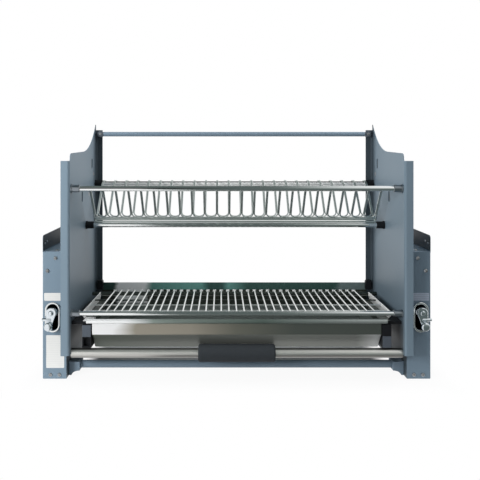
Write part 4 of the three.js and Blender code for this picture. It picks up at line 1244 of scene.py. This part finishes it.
@dataclass
class TubesAndSockets(SubAssembly):
    """All straight tubes across the rack, with the sockets, bosses and brackets at their ends."""

    finishes: Finishes
    web_x: float = 364.95
    box_x: float = 379.0
    panel_rear: float = 265.5
    gap: float = 0.3
    reach: float = 19.0
    tube_radius: float = 6.0
    rail_radius: float = 5.0
    bowl_rail: tuple[float, float] = (16.0, 149.0)
    rear_rail: tuple[float, float] = (222.0, 143.24)
    tie_bar_z: float = 555.0
    boss_radius: float = 8.0
    tie_tube_radius: float = 8.5
    tie_tube: tuple[float, float] = (66.0, 20.0)
    bracket_wall: float = 3.0
    bracket_reach: float = 24.0
    bracket_height: float = 32.0
    bracket_width: float = 34.0

    def tube(self, radius: float, wall: float, half: float, back: float, z: float) -> bpy.types.Object:
        """Turns one open tube with softly broken ends."""
        bore = radius - wall
        profile = [
            (bore, -half), (radius - 0.3, -half), (radius, -half + 0.3), (radius, half - 0.3),
            (radius - 0.3, half), (bore, half), (bore, -half),
        ]
        return Bench.turned(profile, (0, at_back(back), z), Axis.X, 48)

    def socket(self, tube_radius: float, wall: float, back: float, z: float) -> bpy.types.Object:
        """Turns the cup that holds a tube's end, with its foot flange."""
        bore, base = tube_radius + self.gap, self.web_x - self.gap
        outer, mouth = bore + wall, base - self.reach
        profile = [
            (0, base - 4), (bore, base - 4), (bore, mouth + 0.5), (bore + 0.5, mouth), (outer - 0.6, mouth),
            (outer, mouth + 0.6), (outer, base - 3), (bore + 3.2, base - 3), (bore + 3.5, base - 2.5),
            (bore + 3.5, base), (0, base),
        ]
        return Bench.turned(profile, (0, at_back(back), z), Axis.X, 40)

    def build(self) -> None:
        """Builds the tubes, sockets, tie bar ends and foot brackets."""
        half = self.web_x - self.gap - 4 - self.gap
        for name, back, z, wall, tube_finish, finish in (
            ("plate_front", 16.0, 424.0, 2.0, Finishes.lined_tube, Finishes.socket),
            ("plate_rear", 252.0, 425.0, 3.1, Finishes.pale_tube, Finishes.black_plastic),
            ("plate_lower", 153.0, 328.0, 2.4, Finishes.chrome, Finishes.black_plastic),
        ):
            tube = self.tube(self.tube_radius, 1.0, half, back, z)
            self.complete(tube, f"drawn_{name}_tube", "basket", tube_finish, [f"{name}_tube"])
            cup = self.socket(self.tube_radius, wall, back, z)
            self.pair(cup, f"cup_{name}", "basket", finish, [f"{name}_socket"])
        rail = self.tube(self.rail_radius, 1.0, half, *self.bowl_rail)
        self.complete(rail, "drawn_bowl_rail", "basket", Finishes.chrome, ["bowl_front_rail"])
        cup = self.socket(self.rail_radius, 2.0, *self.bowl_rail)
        self.pair(cup, "cup_bowl_rail", "basket", Finishes.socket, ["bowl_rail_socket"])
        # The rear rail is darkened all over as painted shade.
        hidden = self.tube(self.rail_radius, 1.0, self.web_x - self.gap, *self.rear_rail)
        self.complete(hidden, "drawn_rear_rail", "basket", Finishes.shaded, ["bowl_rear_rail"])
        self.build_tie_bar()
        self.build_foot()

    def build_tie_bar(self) -> None:
        """Builds the grey bar between the peaks, with a boss and a screw at each end."""
        rear, r, z = self.panel_rear - self.gap, self.boss_radius, self.tie_bar_z
        boss_x = self.web_x - 5.0 - r
        bar = self.tube(self.tube_radius, 1.2, boss_x - r - self.gap, rear - 7.5, z)
        self.complete(bar, "painted_tie_bar", "basket", Finishes.grey_paint, ["tie_bar"])
        centre = (boss_x, at_back(rear), z)
        boss = Bench.turned(
            [(0, -14.6), (r - 1.4, -14.6), (r - 0.4, -14.1), (r, -13.2), (r, 0), (0, 0)], centre, Axis.Y, 36
        )
        spigot = Bench.rod(4.5, (boss_x - 16, at_back(rear - 7.5), z), 16, Axis.X, 28)
        self.pair(Bench.join([boss, spigot]), "round_boss", "basket", Finishes.grey_plastic, ["tie_boss"])
        screw = Bench.turned(
            [(0, -14.9), (1.3, -14.9), (1.3, -15.2), (1.9, -15.3), (3.2, -15.0), (3.6, -14.5), (0, -14.5)],
            centre, Axis.Y, 32,
        )
        self.pair(screw, "boss_screw", "basket", Finishes.steel)

    def build_foot(self) -> None:
        """Builds the lower tie tube and the gusseted brackets that hold it."""
        outer, reach, height = self.box_x - self.gap, self.bracket_reach, self.bracket_height
        back, z = self.tie_tube
        tube = self.tube(self.tie_tube_radius, 1.2, outer - self.bracket_wall - self.gap, back, z)
        self.complete(tube, "painted_tie_tube", "boxes", Finishes.grey_paint, ["lower_tie_tube"])
        low = curve((outer - reach, 10.2), (outer - 8, 9.5), (outer - 5, 0), 8)
        high = curve((outer - 3, height), (outer - 7, 30), (outer - reach, 29.8), 8)
        gusset = [*low, (outer, 0), (outer, height), *high]
        width = self.bracket_width
        bracket = Bench.slab(front_view(back - width / 2, gusset), (0, width, 0))
        bore_radius = self.tie_tube_radius + self.gap
        bore = Bench.rod(bore_radius, (outer - reach - 2, at_back(back), z), reach - 1, Axis.X, 40)
        self.pair(
            Bench.soften(Bench.cut(bracket, bore), 0.6, 2, 50), "gusset_bracket", "boxes",
            Finishes.grey_paint, ["foot_bracket"],
        )


@dataclass
class PlateRack(SubAssembly):
    """The bent wires of the plate rack: hoops to the front and to the rear, on long rods."""

    finishes: Finishes
    count: int = 24
    pitch: float = 29.6
    wire_radius: float = 1.5
    leg_side: float = 1.45
    start: tuple[float, float] = (22.3, 424.0)
    front_bend: tuple[float, float] = (86.0, 424.0)
    front_foot: tuple[float, float] = (148.5, 339.45)
    rear_foot: tuple[float, float] = (157.5, 339.45)
    rear_bend: tuple[float, float] = (232.0, 432.8)
    hook: tuple[float, float] = (259.8, 432.8)
    hook_drop: float = 12.0
    front_radius: float = 42.0
    rear_radius: float = 38.0
    hook_radius: float = 3.0
    loop_rise: float = 11.0
    loop_radius: float = 12.0
    rod_half: float = 344.0

    def up_slope(self, foot: tuple[float, float], head: tuple[float, float], rise: float) -> tuple[float, float]:
        """Gives the place at a rise along the slope from foot to head."""
        length = math.dist(foot, head)
        return tuple(a + (b - a) * rise / length for a, b in zip(foot, head))

    def hoop(
        self, foot: tuple[float, float], path: Sequence[tuple[float, float]], bends: Sequence[float],
    ) -> bpy.types.Object:
        """Bends one hoop: in along the path, down the slope, across, and back the same way.

        Args:
            foot: The lower end of the slope, as back and height.
            path: The hoop's corners from its end to the top of the slope.
            bends: The bends' radii along the path.

        Returns:
            The hoop at the first gap.
        """
        low = self.up_slope(foot, path[-1], self.loop_rise)
        near, far = self.leg_side, self.pitch - self.leg_side
        go = [(near, at_back(back), z) for back, z in (*path, low)]
        come = [(far, at_back(back), z) for back, z in (low, *reversed(path))]
        radii = [*bends, self.loop_radius, self.loop_radius, *reversed(bends)]
        return Bench.wire([*go, *come], self.wire_radius, radii, 10, 6)

    def end_leg(self) -> bpy.types.Object:
        """Bends the single wire beyond the last hoop."""
        end = (self.hook[0], self.hook[1] - self.hook_drop)
        path = [self.start, self.front_bend, self.front_foot, self.rear_foot, self.rear_bend, self.hook, end]
        radii = [self.front_radius, 6.0, 6.0, self.rear_radius, self.hook_radius]
        return Bench.wire(side_view(0.0, path), self.wire_radius, radii, 10, 6)

    def rods(self) -> list[bpy.types.Object]:
        """Models the long rods: one under each row of loops, two in the pocket and one below."""
        below_loop = self.loop_rise - 2 * self.wire_radius + 0.2
        places = [
            self.up_slope(self.front_foot, self.front_bend, below_loop),
            self.up_slope(self.rear_foot, self.rear_bend, below_loop), (149.0, 342.6), (158.0, 340.2),
        ]
        thin = [
            Bench.rod(self.wire_radius, (-self.rod_half, at_back(back), z), 2 * self.rod_half, Axis.X, 14)
            for back, z in places
        ]
        return [*thin, Bench.rod(2.0, (-self.rod_half, at_back(153.0), 336.3), 2 * self.rod_half, Axis.X, 20)]

    def build(self) -> None:
        """Models one of each wire, repeats them and joins them to the rods."""
        hook_end = (self.hook[0], self.hook[1] - self.hook_drop)
        front = self.hoop(self.front_foot, [self.start, self.front_bend], [self.front_radius])
        rear = self.hoop(
            self.rear_foot, [hook_end, self.hook, self.rear_bend], [self.hook_radius, self.rear_radius]
        )
        leg = self.end_leg()
        first = -self.pitch * (self.count - 1) / 2
        pieces = self.rods()
        for index in range(self.count - 1):
            x = first + index * self.pitch
            pieces += [Bench.copy(front, (x, 0, 0)), Bench.copy(rear, (x, 0, 0))]
        pieces += [Bench.copy(leg, (side * (-first + self.leg_side), 0, 0)) for side in (-1, 1)]
        for model in (front, rear, leg):
            bpy.data.objects.remove(model)
        self.complete(Bench.join(pieces), "plate_hoops", "basket", Finishes.wire, ["plate_wires"], 50)


@dataclass
class BowlRack(SubAssembly):
    """The lower rack: wires from front to back on cross rods, between two side strips."""

    finishes: Finishes
    count: int = 37
    pitch: float = 17.1
    wire_z: float = 150.0
    wire_radius: float = 1.95
    rail_back: float = 222.0
    rail_z: float = 143.24
    hook_turn: float = 6.76
    cross_backs: tuple[float, ...] = (44.0, 92.0)
    dull_back: float = 139.0
    side_x: float = 341.0

    def build(self) -> None:
        """Models one wire, one rod and one strip, and repeats them."""
        end_back = self.rail_back + self.hook_turn
        path = [(21.4, self.wire_z), (end_back, self.wire_z), (end_back, self.rail_z - 5.0)]
        wire = Bench.wire(side_view(0.0, path), self.wire_radius, [self.hook_turn], 10, 7)
        first = -self.pitch * (self.count - 1) / 2
        pieces = [Bench.copy(wire, (first + index * self.pitch, 0, 0)) for index in range(self.count)]
        bpy.data.objects.remove(wire)
        for back in self.cross_backs:
            pieces.append(Bench.rod(1.7, (-self.side_x, at_back(back), 147.35), 2 * self.side_x, Axis.X, 16))
        # The rear rod is darkened all over as painted shade.
        rear = Bench.rod(1.7, (-self.side_x, at_back(self.dull_back), 147.35), 2 * self.side_x, Axis.X, 16)
        self.complete(rear, "bowl_rear_rod", "bowl_rack", Finishes.shaded)
        tab = Bench.block((-4.4, at_back(end_back - 1.2), self.rail_z - 5.0), (4.4, at_back(end_back + 1.2), 151.9))
        Bench.soften(tab, 0.9, 3, 50)
        strips = [Bench.copy(tab, (first + index * self.pitch, 0, 0)) for index in range(self.count)]
        bpy.data.objects.remove(tab)
        for side in (-1, 1):
            outline = [(21.5, 151.3), (21.5, 141.8), (36.0, 132.3), (196.5, 132.3), (206.0, 141.8), (206.0, 151.3)]
            strips.append(Bench.slab(side_view(side * self.side_x - 1, outline), (2, 0, 0), 0.6, 3))
        self.complete(Bench.join(pieces), "bowl_grid", "bowl_rack", Finishes.bright_wire, ["bowl_rack"], 50)
        # The strips and tabs share the rear tube's pale painted reflection.
        self.complete(Bench.join(strips), "bowl_strips_and_tabs", "bowl_rack", Finishes.pale_tube)


@dataclass
class GuardStrip(SubAssembly):
    """The folded strip behind the bowl rack and the blocks that hold its ends."""

    finishes: Finishes
    half: float = 345.0
    low_z: float = 110.0
    height: float = 53.0
    lip: float = 5.0
    sheet: float = 1.5
    rear: float = 265.2
    bend: float = 2.5

    def build(self) -> None:
        """Folds the strip and models both blocks."""
        back = self.rear - self.sheet / 2
        line = [(back, self.low_z + self.height), (back, self.low_z + self.bend)]
        reach = self.half + 4.0
        edge = Bench.draw(side_view(-reach, line), False)
        Bench.edit(edge)
        bpy.ops.mesh.extrude_edges_move(TRANSFORM_OT_translate={"value": (2 * reach, 0, 0)})
        low = self.low_z + self.bend
        Bench.choose(edge, Part.EDGES, lambda at, line: abs(at.z - low) < 0.01 and abs(line.x) > 0.9)
        centre = (0, at_back(back - self.bend), low)
        bpy.ops.mesh.spin(steps=6, angle=math.pi / 2, center=centre, axis=(1, 0, 0))
        forward = self.bend - self.lip
        bpy.ops.mesh.extrude_edges_move(TRANSFORM_OT_translate={"value": (0, forward, 0)})
        Bench.tidy(edge)
        strip = Bench.soften(Bench.thicken(edge, self.sheet, 0.0), 0.3, 2, 50)
        self.complete(strip, "folded_guard", "basket", Finishes.mirror, ["guard_strip"])
        x0, x1 = self.half + 0.3, 359.95
        outline = [(x0, 147), (x1, 147), (x1, 171), *curve((x0 + 6, 171), (x0, 171), (x0, 165), 6)]
        block = Bench.slab(front_view(self.rear - 14, outline), (0, 14, 0), 1.2, 3)
        self.pair(block, "end_block", "basket", Finishes.black_plastic, ["guard_fitting"])


@dataclass
class DripTray(SubAssembly):
    """The folded tray with its rolled rim, and its hangers."""

    finishes: Finishes
    half: float = 319.0
    rim_half: float = 331.0
    sheet: float = 1.2
    front: float = 14.0
    rear: float = 208.0
    rim_radius: float = 5.0
    rim_z: float = 132.0
    knee_z: float = 103.0
    floor_back: float = 44.0
    floor_z: float = 66.0

    def trough(self) -> bpy.types.Object:
        """Draws the trough's side outline, pulls it across, opens its top and rounds its folds."""
        outline = [
            (self.front, self.rim_z), (self.front, self.knee_z), (self.floor_back, self.floor_z),
            (self.rear, self.floor_z), (self.rear, self.rim_z),
        ]
        tray = Bench.slab(side_view(-self.half, outline), (2 * self.half, 0, 0))
        Bench.edit(tray)
        Bench.choose(tray, Part.FACES, lambda at, normal: normal.z > 0.9)
        bpy.ops.mesh.delete(type="FACE")
        Bench.choose(tray, Part.EDGES, lambda at, line: at.z < self.rim_z - 0.1)
        bpy.ops.mesh.bevel(offset=2.2, segments=4, affect="EDGES")
        Bench.clear()
        Bench.thicken(tray, self.sheet, -1.0)
        return Bench.soften(tray, 0.3, 2, 50)

    def rim(self) -> bpy.types.Object:
        """Turns the rolled front rim, hollow and closed with a small lip at each end."""
        r, h = self.rim_radius, self.rim_half
        profile = [
            (0, -h + 1.5), (r - 1.4, -h + 1.5), (r - 1.2, -h), (r - 0.2, -h + 0.2), (r, -h + 1), (r, h - 1),
            (r - 0.2, h - 0.2), (r - 1.2, h), (r - 1.4, h - 1.5), (0, h - 1.5),
        ]
        return Bench.turned(profile, (0, at_back(self.front), self.rim_z), Axis.X, 40)

    def lip(self) -> bpy.types.Object:
        """Models the right hand end lip that rests on its hanger."""
        low = (self.half - self.sheet, at_back(self.front + 5.3), self.rim_z - self.sheet)
        high = (self.half + 21, at_back(self.rear), self.rim_z)
        return Bench.soften(Bench.block(low, high), 0.4, 3, 50)

    def hanger(self) -> bpy.types.Object:
        """Models the plastic hanger: a wall beside the tray and a shelf to the panel."""
        x0, x1, wall_x = self.half + 1.5, self.half + 21.5, 364.65
        wall = Bench.block((x0, at_back(self.front), 73), (x1, at_back(205), 124.5))
        cell = Bench.block((x0 + 3, at_back(self.front - 2), 76.5), (x1 - 3, at_back(self.front + 9), 95))
        shelf = Bench.block((x0, at_back(19.3), 124.3), (wall_x, at_back(205), 130.5))
        pieces = [Bench.soften(Bench.cut(wall, cell), 0.8, 3, 50), Bench.soften(shelf, 0.6, 3, 50)]
        return Bench.join(pieces)

    def clip(self, side: Side, low: float, high: float) -> bpy.types.Object:
        """Models the grey clip on the front of one hanger between two heights."""
        x0, x1 = sorted((side.value * (self.half + 2.0), side.value * (self.half + 21.0)))
        body = Bench.block((x0, at_back(self.front - 1.8), low), (x1, at_back(self.front + 1), high))
        return Bench.soften(body, 0.7, 3, 50)

    def build(self) -> None:
        """Builds the tray and both hangers."""
        lip = self.lip()
        tray = Bench.join([self.trough(), lip, Bench.mirrored(lip)])
        self.complete(tray, "folded_tray", "basket", Finishes.tray, ["drip_tray"])
        self.complete(self.rim(), "rolled_rim", "basket", Finishes.rolled_rim)
        self.pair(self.hanger(), "moulded_hanger", "basket", Finishes.black_plastic, ["tray_hanger"])
        self.complete(self.clip(Side.LEFT, 98, 123.5), "hanger_clip_left", "basket", Finishes.grey_plastic)
        self.complete(self.clip(Side.RIGHT, 74, 99), "hanger_clip_right", "basket", Finishes.grey_plastic)


@dataclass
class Handle(SubAssembly):
    """The handle tube across the bottom of the panels and its foam grip."""

    finishes: Finishes
    radius: float = 10.5
    wall: float = 1.2
    half: float = 364.65
    back: float = 20.5
    z: float = 60.5
    grip_radius: float = 19.0
    grip_half: float = 85.0

    def build(self) -> None:
        """Turns the tube and the grip."""
        bore, r, h = self.radius - self.wall, self.radius, self.half
        tube = Bench.turned(
            [(bore, -h), (r - 0.3, -h), (r, -h + 0.3), (r, h - 0.3), (r - 0.3, h), (bore, h), (bore, -h)],
            (0, at_back(self.back), self.z), Axis.X, 56,
        )
        self.complete(tube, "drawn_handle_tube", "basket", Finishes.handle, ["handle_tube"])
        g, e, inner = self.grip_radius, self.grip_half, self.radius + 0.35
        end = [(g - 5 + 5 * math.sin(a), e - 5 + 5 * math.cos(a)) for a in (math.radians(15 * k) for k in range(7))]
        half_profile = [(inner, e - 1.5), (inner + 1.5, e), *end]
        profile = half_profile + [(r, -h) for r, h in reversed(half_profile)] + [half_profile[0]]
        grip = Bench.turned(profile, (0, at_back(self.back), self.z), Axis.X, 56)
        self.complete(grip, "foam_grip", "basket", Finishes.foam, ["handle_grip"], 50)


@dataclass
class InnerMechanism(SubAssembly):
    """The pieces inside the boxes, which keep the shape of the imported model."""

    finishes: Finishes

    def build(self) -> None:
        """Gives each kept piece its finish."""
        kept = {
            "inner_plate": Finishes.dark_paint, "shaft_bush": Finishes.steel, "arm_stop": Finishes.rubber,
            "bar_guide": Finishes.grey_plastic, "lift_spring": Finishes.spring, "spring_anchor": Finishes.steel,
            "main_shaft": Finishes.steel, "toothed_sector": Finishes.steel, "toothed_bar": Finishes.steel,
        }
        for name, finish in kept.items():
            for side in Side:
                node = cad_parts[f"{name}_{side.word}"]
                node.data.materials.clear()
                node.data.materials.append(self.finishes.get(finish))
                LOG.info("%s: kept, %s", node.name, finish.name)


@dataclass
class Studio:
    """The floor, lamps, world and camera."""

    floor_front: float = -0.2
    lens: float = 41.925
    place: Point = (-0.0348, -1.3495, 0.487)
    shift: tuple[float, float] = (0.03958, -0.1667)

    def camera(self) -> None:
        """Sets the camera at the photograph's place, level, with a shifted frame."""
        data = bpy.data.cameras.new("photo_camera")
        data.lens = self.lens
        data.sensor_width = 36.0
        data.sensor_fit = "HORIZONTAL"
        data.shift_x, data.shift_y = self.shift
        camera = bpy.data.objects.new("photo_camera", data)
        camera.location = self.place
        camera.rotation_euler = Euler((math.pi / 2, 0, 0))
        bpy.context.scene.collection.objects.link(camera)
        bpy.context.scene.camera = camera

    @staticmethod
    def seen(sheet: NodeSheet) -> ShaderValue:
        """Is 1 for rays from the camera, from glossy surfaces and through clear ones."""
        parts = [
            sheet.add("ShaderNodeLightPath", output=name)
            for name in ("Is Camera Ray", "Is Glossy Ray", "Is Transmission Ray")
        ]
        total = parts[0] + parts[1] + parts[2]
        return total > 0.5

    @staticmethod
    def far_from_rack(sheet: NodeSheet) -> ShaderValue:
        """Is 0 on the floor beside the rack and 1 far from it."""
        halves = ((Axis.X, 0.43), (Axis.Y, 0.13))
        beside = [abs(sheet.along(axis)) - half for axis, half in halves]
        distance = sheet.add("ShaderNodeMath", {"operation": "MAXIMUM"}, dict(enumerate(beside)))
        return distance.fade(0.0, 0.066)

    def floor(self) -> None:
        """Lays a floor that shows white and keeps the shadow, and ends where the basket comes down.

        Beneath the rack it is plain matt. Glossy rays see its front dimmer from the middle to the right.
        """
        floor = Bench.block((-7, self.floor_front, -0.0014), (7, 7, -0.0004))
        floor.name = "studio_floor"
        material = bpy.data.materials.new("pale_floor")
        material.use_nodes = True
        sheet = NodeSheet(material.node_tree)
        matt = sheet.add("ShaderNodeBsdfDiffuse", None, {"Color": (0.8, 0.81, 0.82, 1)})
        x, y = sheet.along(Axis.X), sheet.along(Axis.Y)
        mirrored = sheet.add("ShaderNodeLightPath", output="Is Glossy Ray")
        before = mirrored * y.fade(-0.1, -0.15) * x.fade(-0.23, -0.15)
        white = sheet.add("ShaderNodeEmission", None, {"Color": (1, 1, 1, 1), "Strength": 1.0 - before * 0.82})
        beneath = abs(x).fade(0.37, 0.33) * y.fade(-0.012, 0.008) * y.fade(0.17, 0.12)
        share = self.seen(sheet) * (0.93 + self.far_from_rack(sheet) * 0.07) * (1.0 - beneath)
        mixed = sheet.add("ShaderNodeMixShader", None, {0: share, 1: matt, 2: white})
        sheet.add("ShaderNodeOutputMaterial", None, {"Surface": mixed})
        floor.data.materials.append(material)

    def world(self) -> None:
        """Surrounds the rack with a white backdrop. Glossy rays see a dimmer room before it, with two soft boxes."""
        world = bpy.data.worlds.new("studio")
        bpy.context.scene.world = world
        world.use_nodes = True
        sheet = NodeSheet(world.node_tree)
        way = sheet.add("ShaderNodeTexCoord", output="Generated")
        x, y, z = (sheet.add("ShaderNodeSeparateXYZ", None, {0: way}, k) for k in range(3))
        aside = sheet.add("ShaderNodeMath", {"operation": "ARCTAN2"}, {0: x, 1: 0.0 - y})
        left_box = aside.fade(-0.125, -0.165) * aside.fade(-1.25, -1.05) * z.fade(0.66, 0.45)
        right_box = x.fade(0.08, 0.3) * z.fade(-0.3, 0.75)
        boxes = left_box * 0.9 + right_box * 0.8
        front = boxes + 0.13
        behind = y.fade(0.0, 0.12) * z.fade(0.5, 0.35)
        bright = front * (1.0 - behind) + behind
        tint = sheet.ramp(
            [(0.0, (0.75, 1.0, 0.95, 1)), (0.35, (0.93, 1.0, 0.98, 1)), (1.0, (1, 1, 1, 1))], bright
        )
        reflected = sheet.add("ShaderNodeBackground", None, {"Color": tint, "Strength": bright})
        soft = sheet.add("ShaderNodeBackground", None, {"Color": (0.93, 0.97, 1.0, 1), "Strength": 0.32})
        white = sheet.add("ShaderNodeBackground", None, {"Color": (1, 1, 1, 1), "Strength": 1.0})
        camera_ray = sheet.add("ShaderNodeLightPath", output="Is Camera Ray")
        glossy_ray = sheet.add("ShaderNodeLightPath", output="Is Glossy Ray")
        lit = sheet.add("ShaderNodeMixShader", None, {0: glossy_ray, 1: soft, 2: reflected})
        whole = sheet.add("ShaderNodeMixShader", None, {0: camera_ray, 1: lit, 2: white})
        sheet.add("ShaderNodeOutputWorld", None, {"Surface": whole})

    def lamp(self, name: str, place: Point, aim: Point, size: float, power: float) -> None:
        """Hangs one square soft lamp, which glossy rays don't see.

        Args:
            name: The lamp's name.
            place: Where it hangs.
            aim: Where it points.
            size: The length of its sides.
            power: Its power in watts.
        """
        data = bpy.data.lights.new(name, "AREA")
        data.shape = "SQUARE"
        data.size = size
        data.energy = power
        lamp = bpy.data.objects.new(name, data)
        lamp.location = place
        lamp.rotation_euler = (Vector(aim) - Vector(place)).to_track_quat("-Z", "Y").to_euler()
        lamp.visible_glossy = False
        bpy.context.scene.collection.objects.link(lamp)

    def build(self) -> None:
        """Sets the whole studio."""
        bpy.context.scene.view_settings.view_transform = "Standard"
        self.floor()
        self.world()
        self.lamp("left_softbox", (-1.1, -0.95, 0.6), (-0.1, 0, 0.25), 0.6, 17)
        self.lamp("right_softbox", (1.1, -0.1, 1.2), (-0.2, 0, 0.3), 0.8, 10)
        self.lamp("overhead_softbox", (-0.2, -0.2, 2.3), (0, 0, 0.2), 1.4, 13)
        self.camera()


def main() -> None:
    """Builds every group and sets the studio."""
    logging.basicConfig(level=logging.INFO, format="%(name)s %(message)s")
    finishes = Finishes()
    groups: list[SubAssembly] = [
        SidePanels(finishes), MechanismBoxes(finishes), Adjusters(finishes), SwingArms(finishes),
        TubesAndSockets(finishes), PlateRack(finishes), BowlRack(finishes), GuardStrip(finishes),
        DripTray(finishes), Handle(finishes), InnerMechanism(finishes),
    ]
    for group in groups:
        group.build()
        LOG.info("built %s", type(group).__name__)
    Studio().build()


if __name__ == "__main__":
    main()
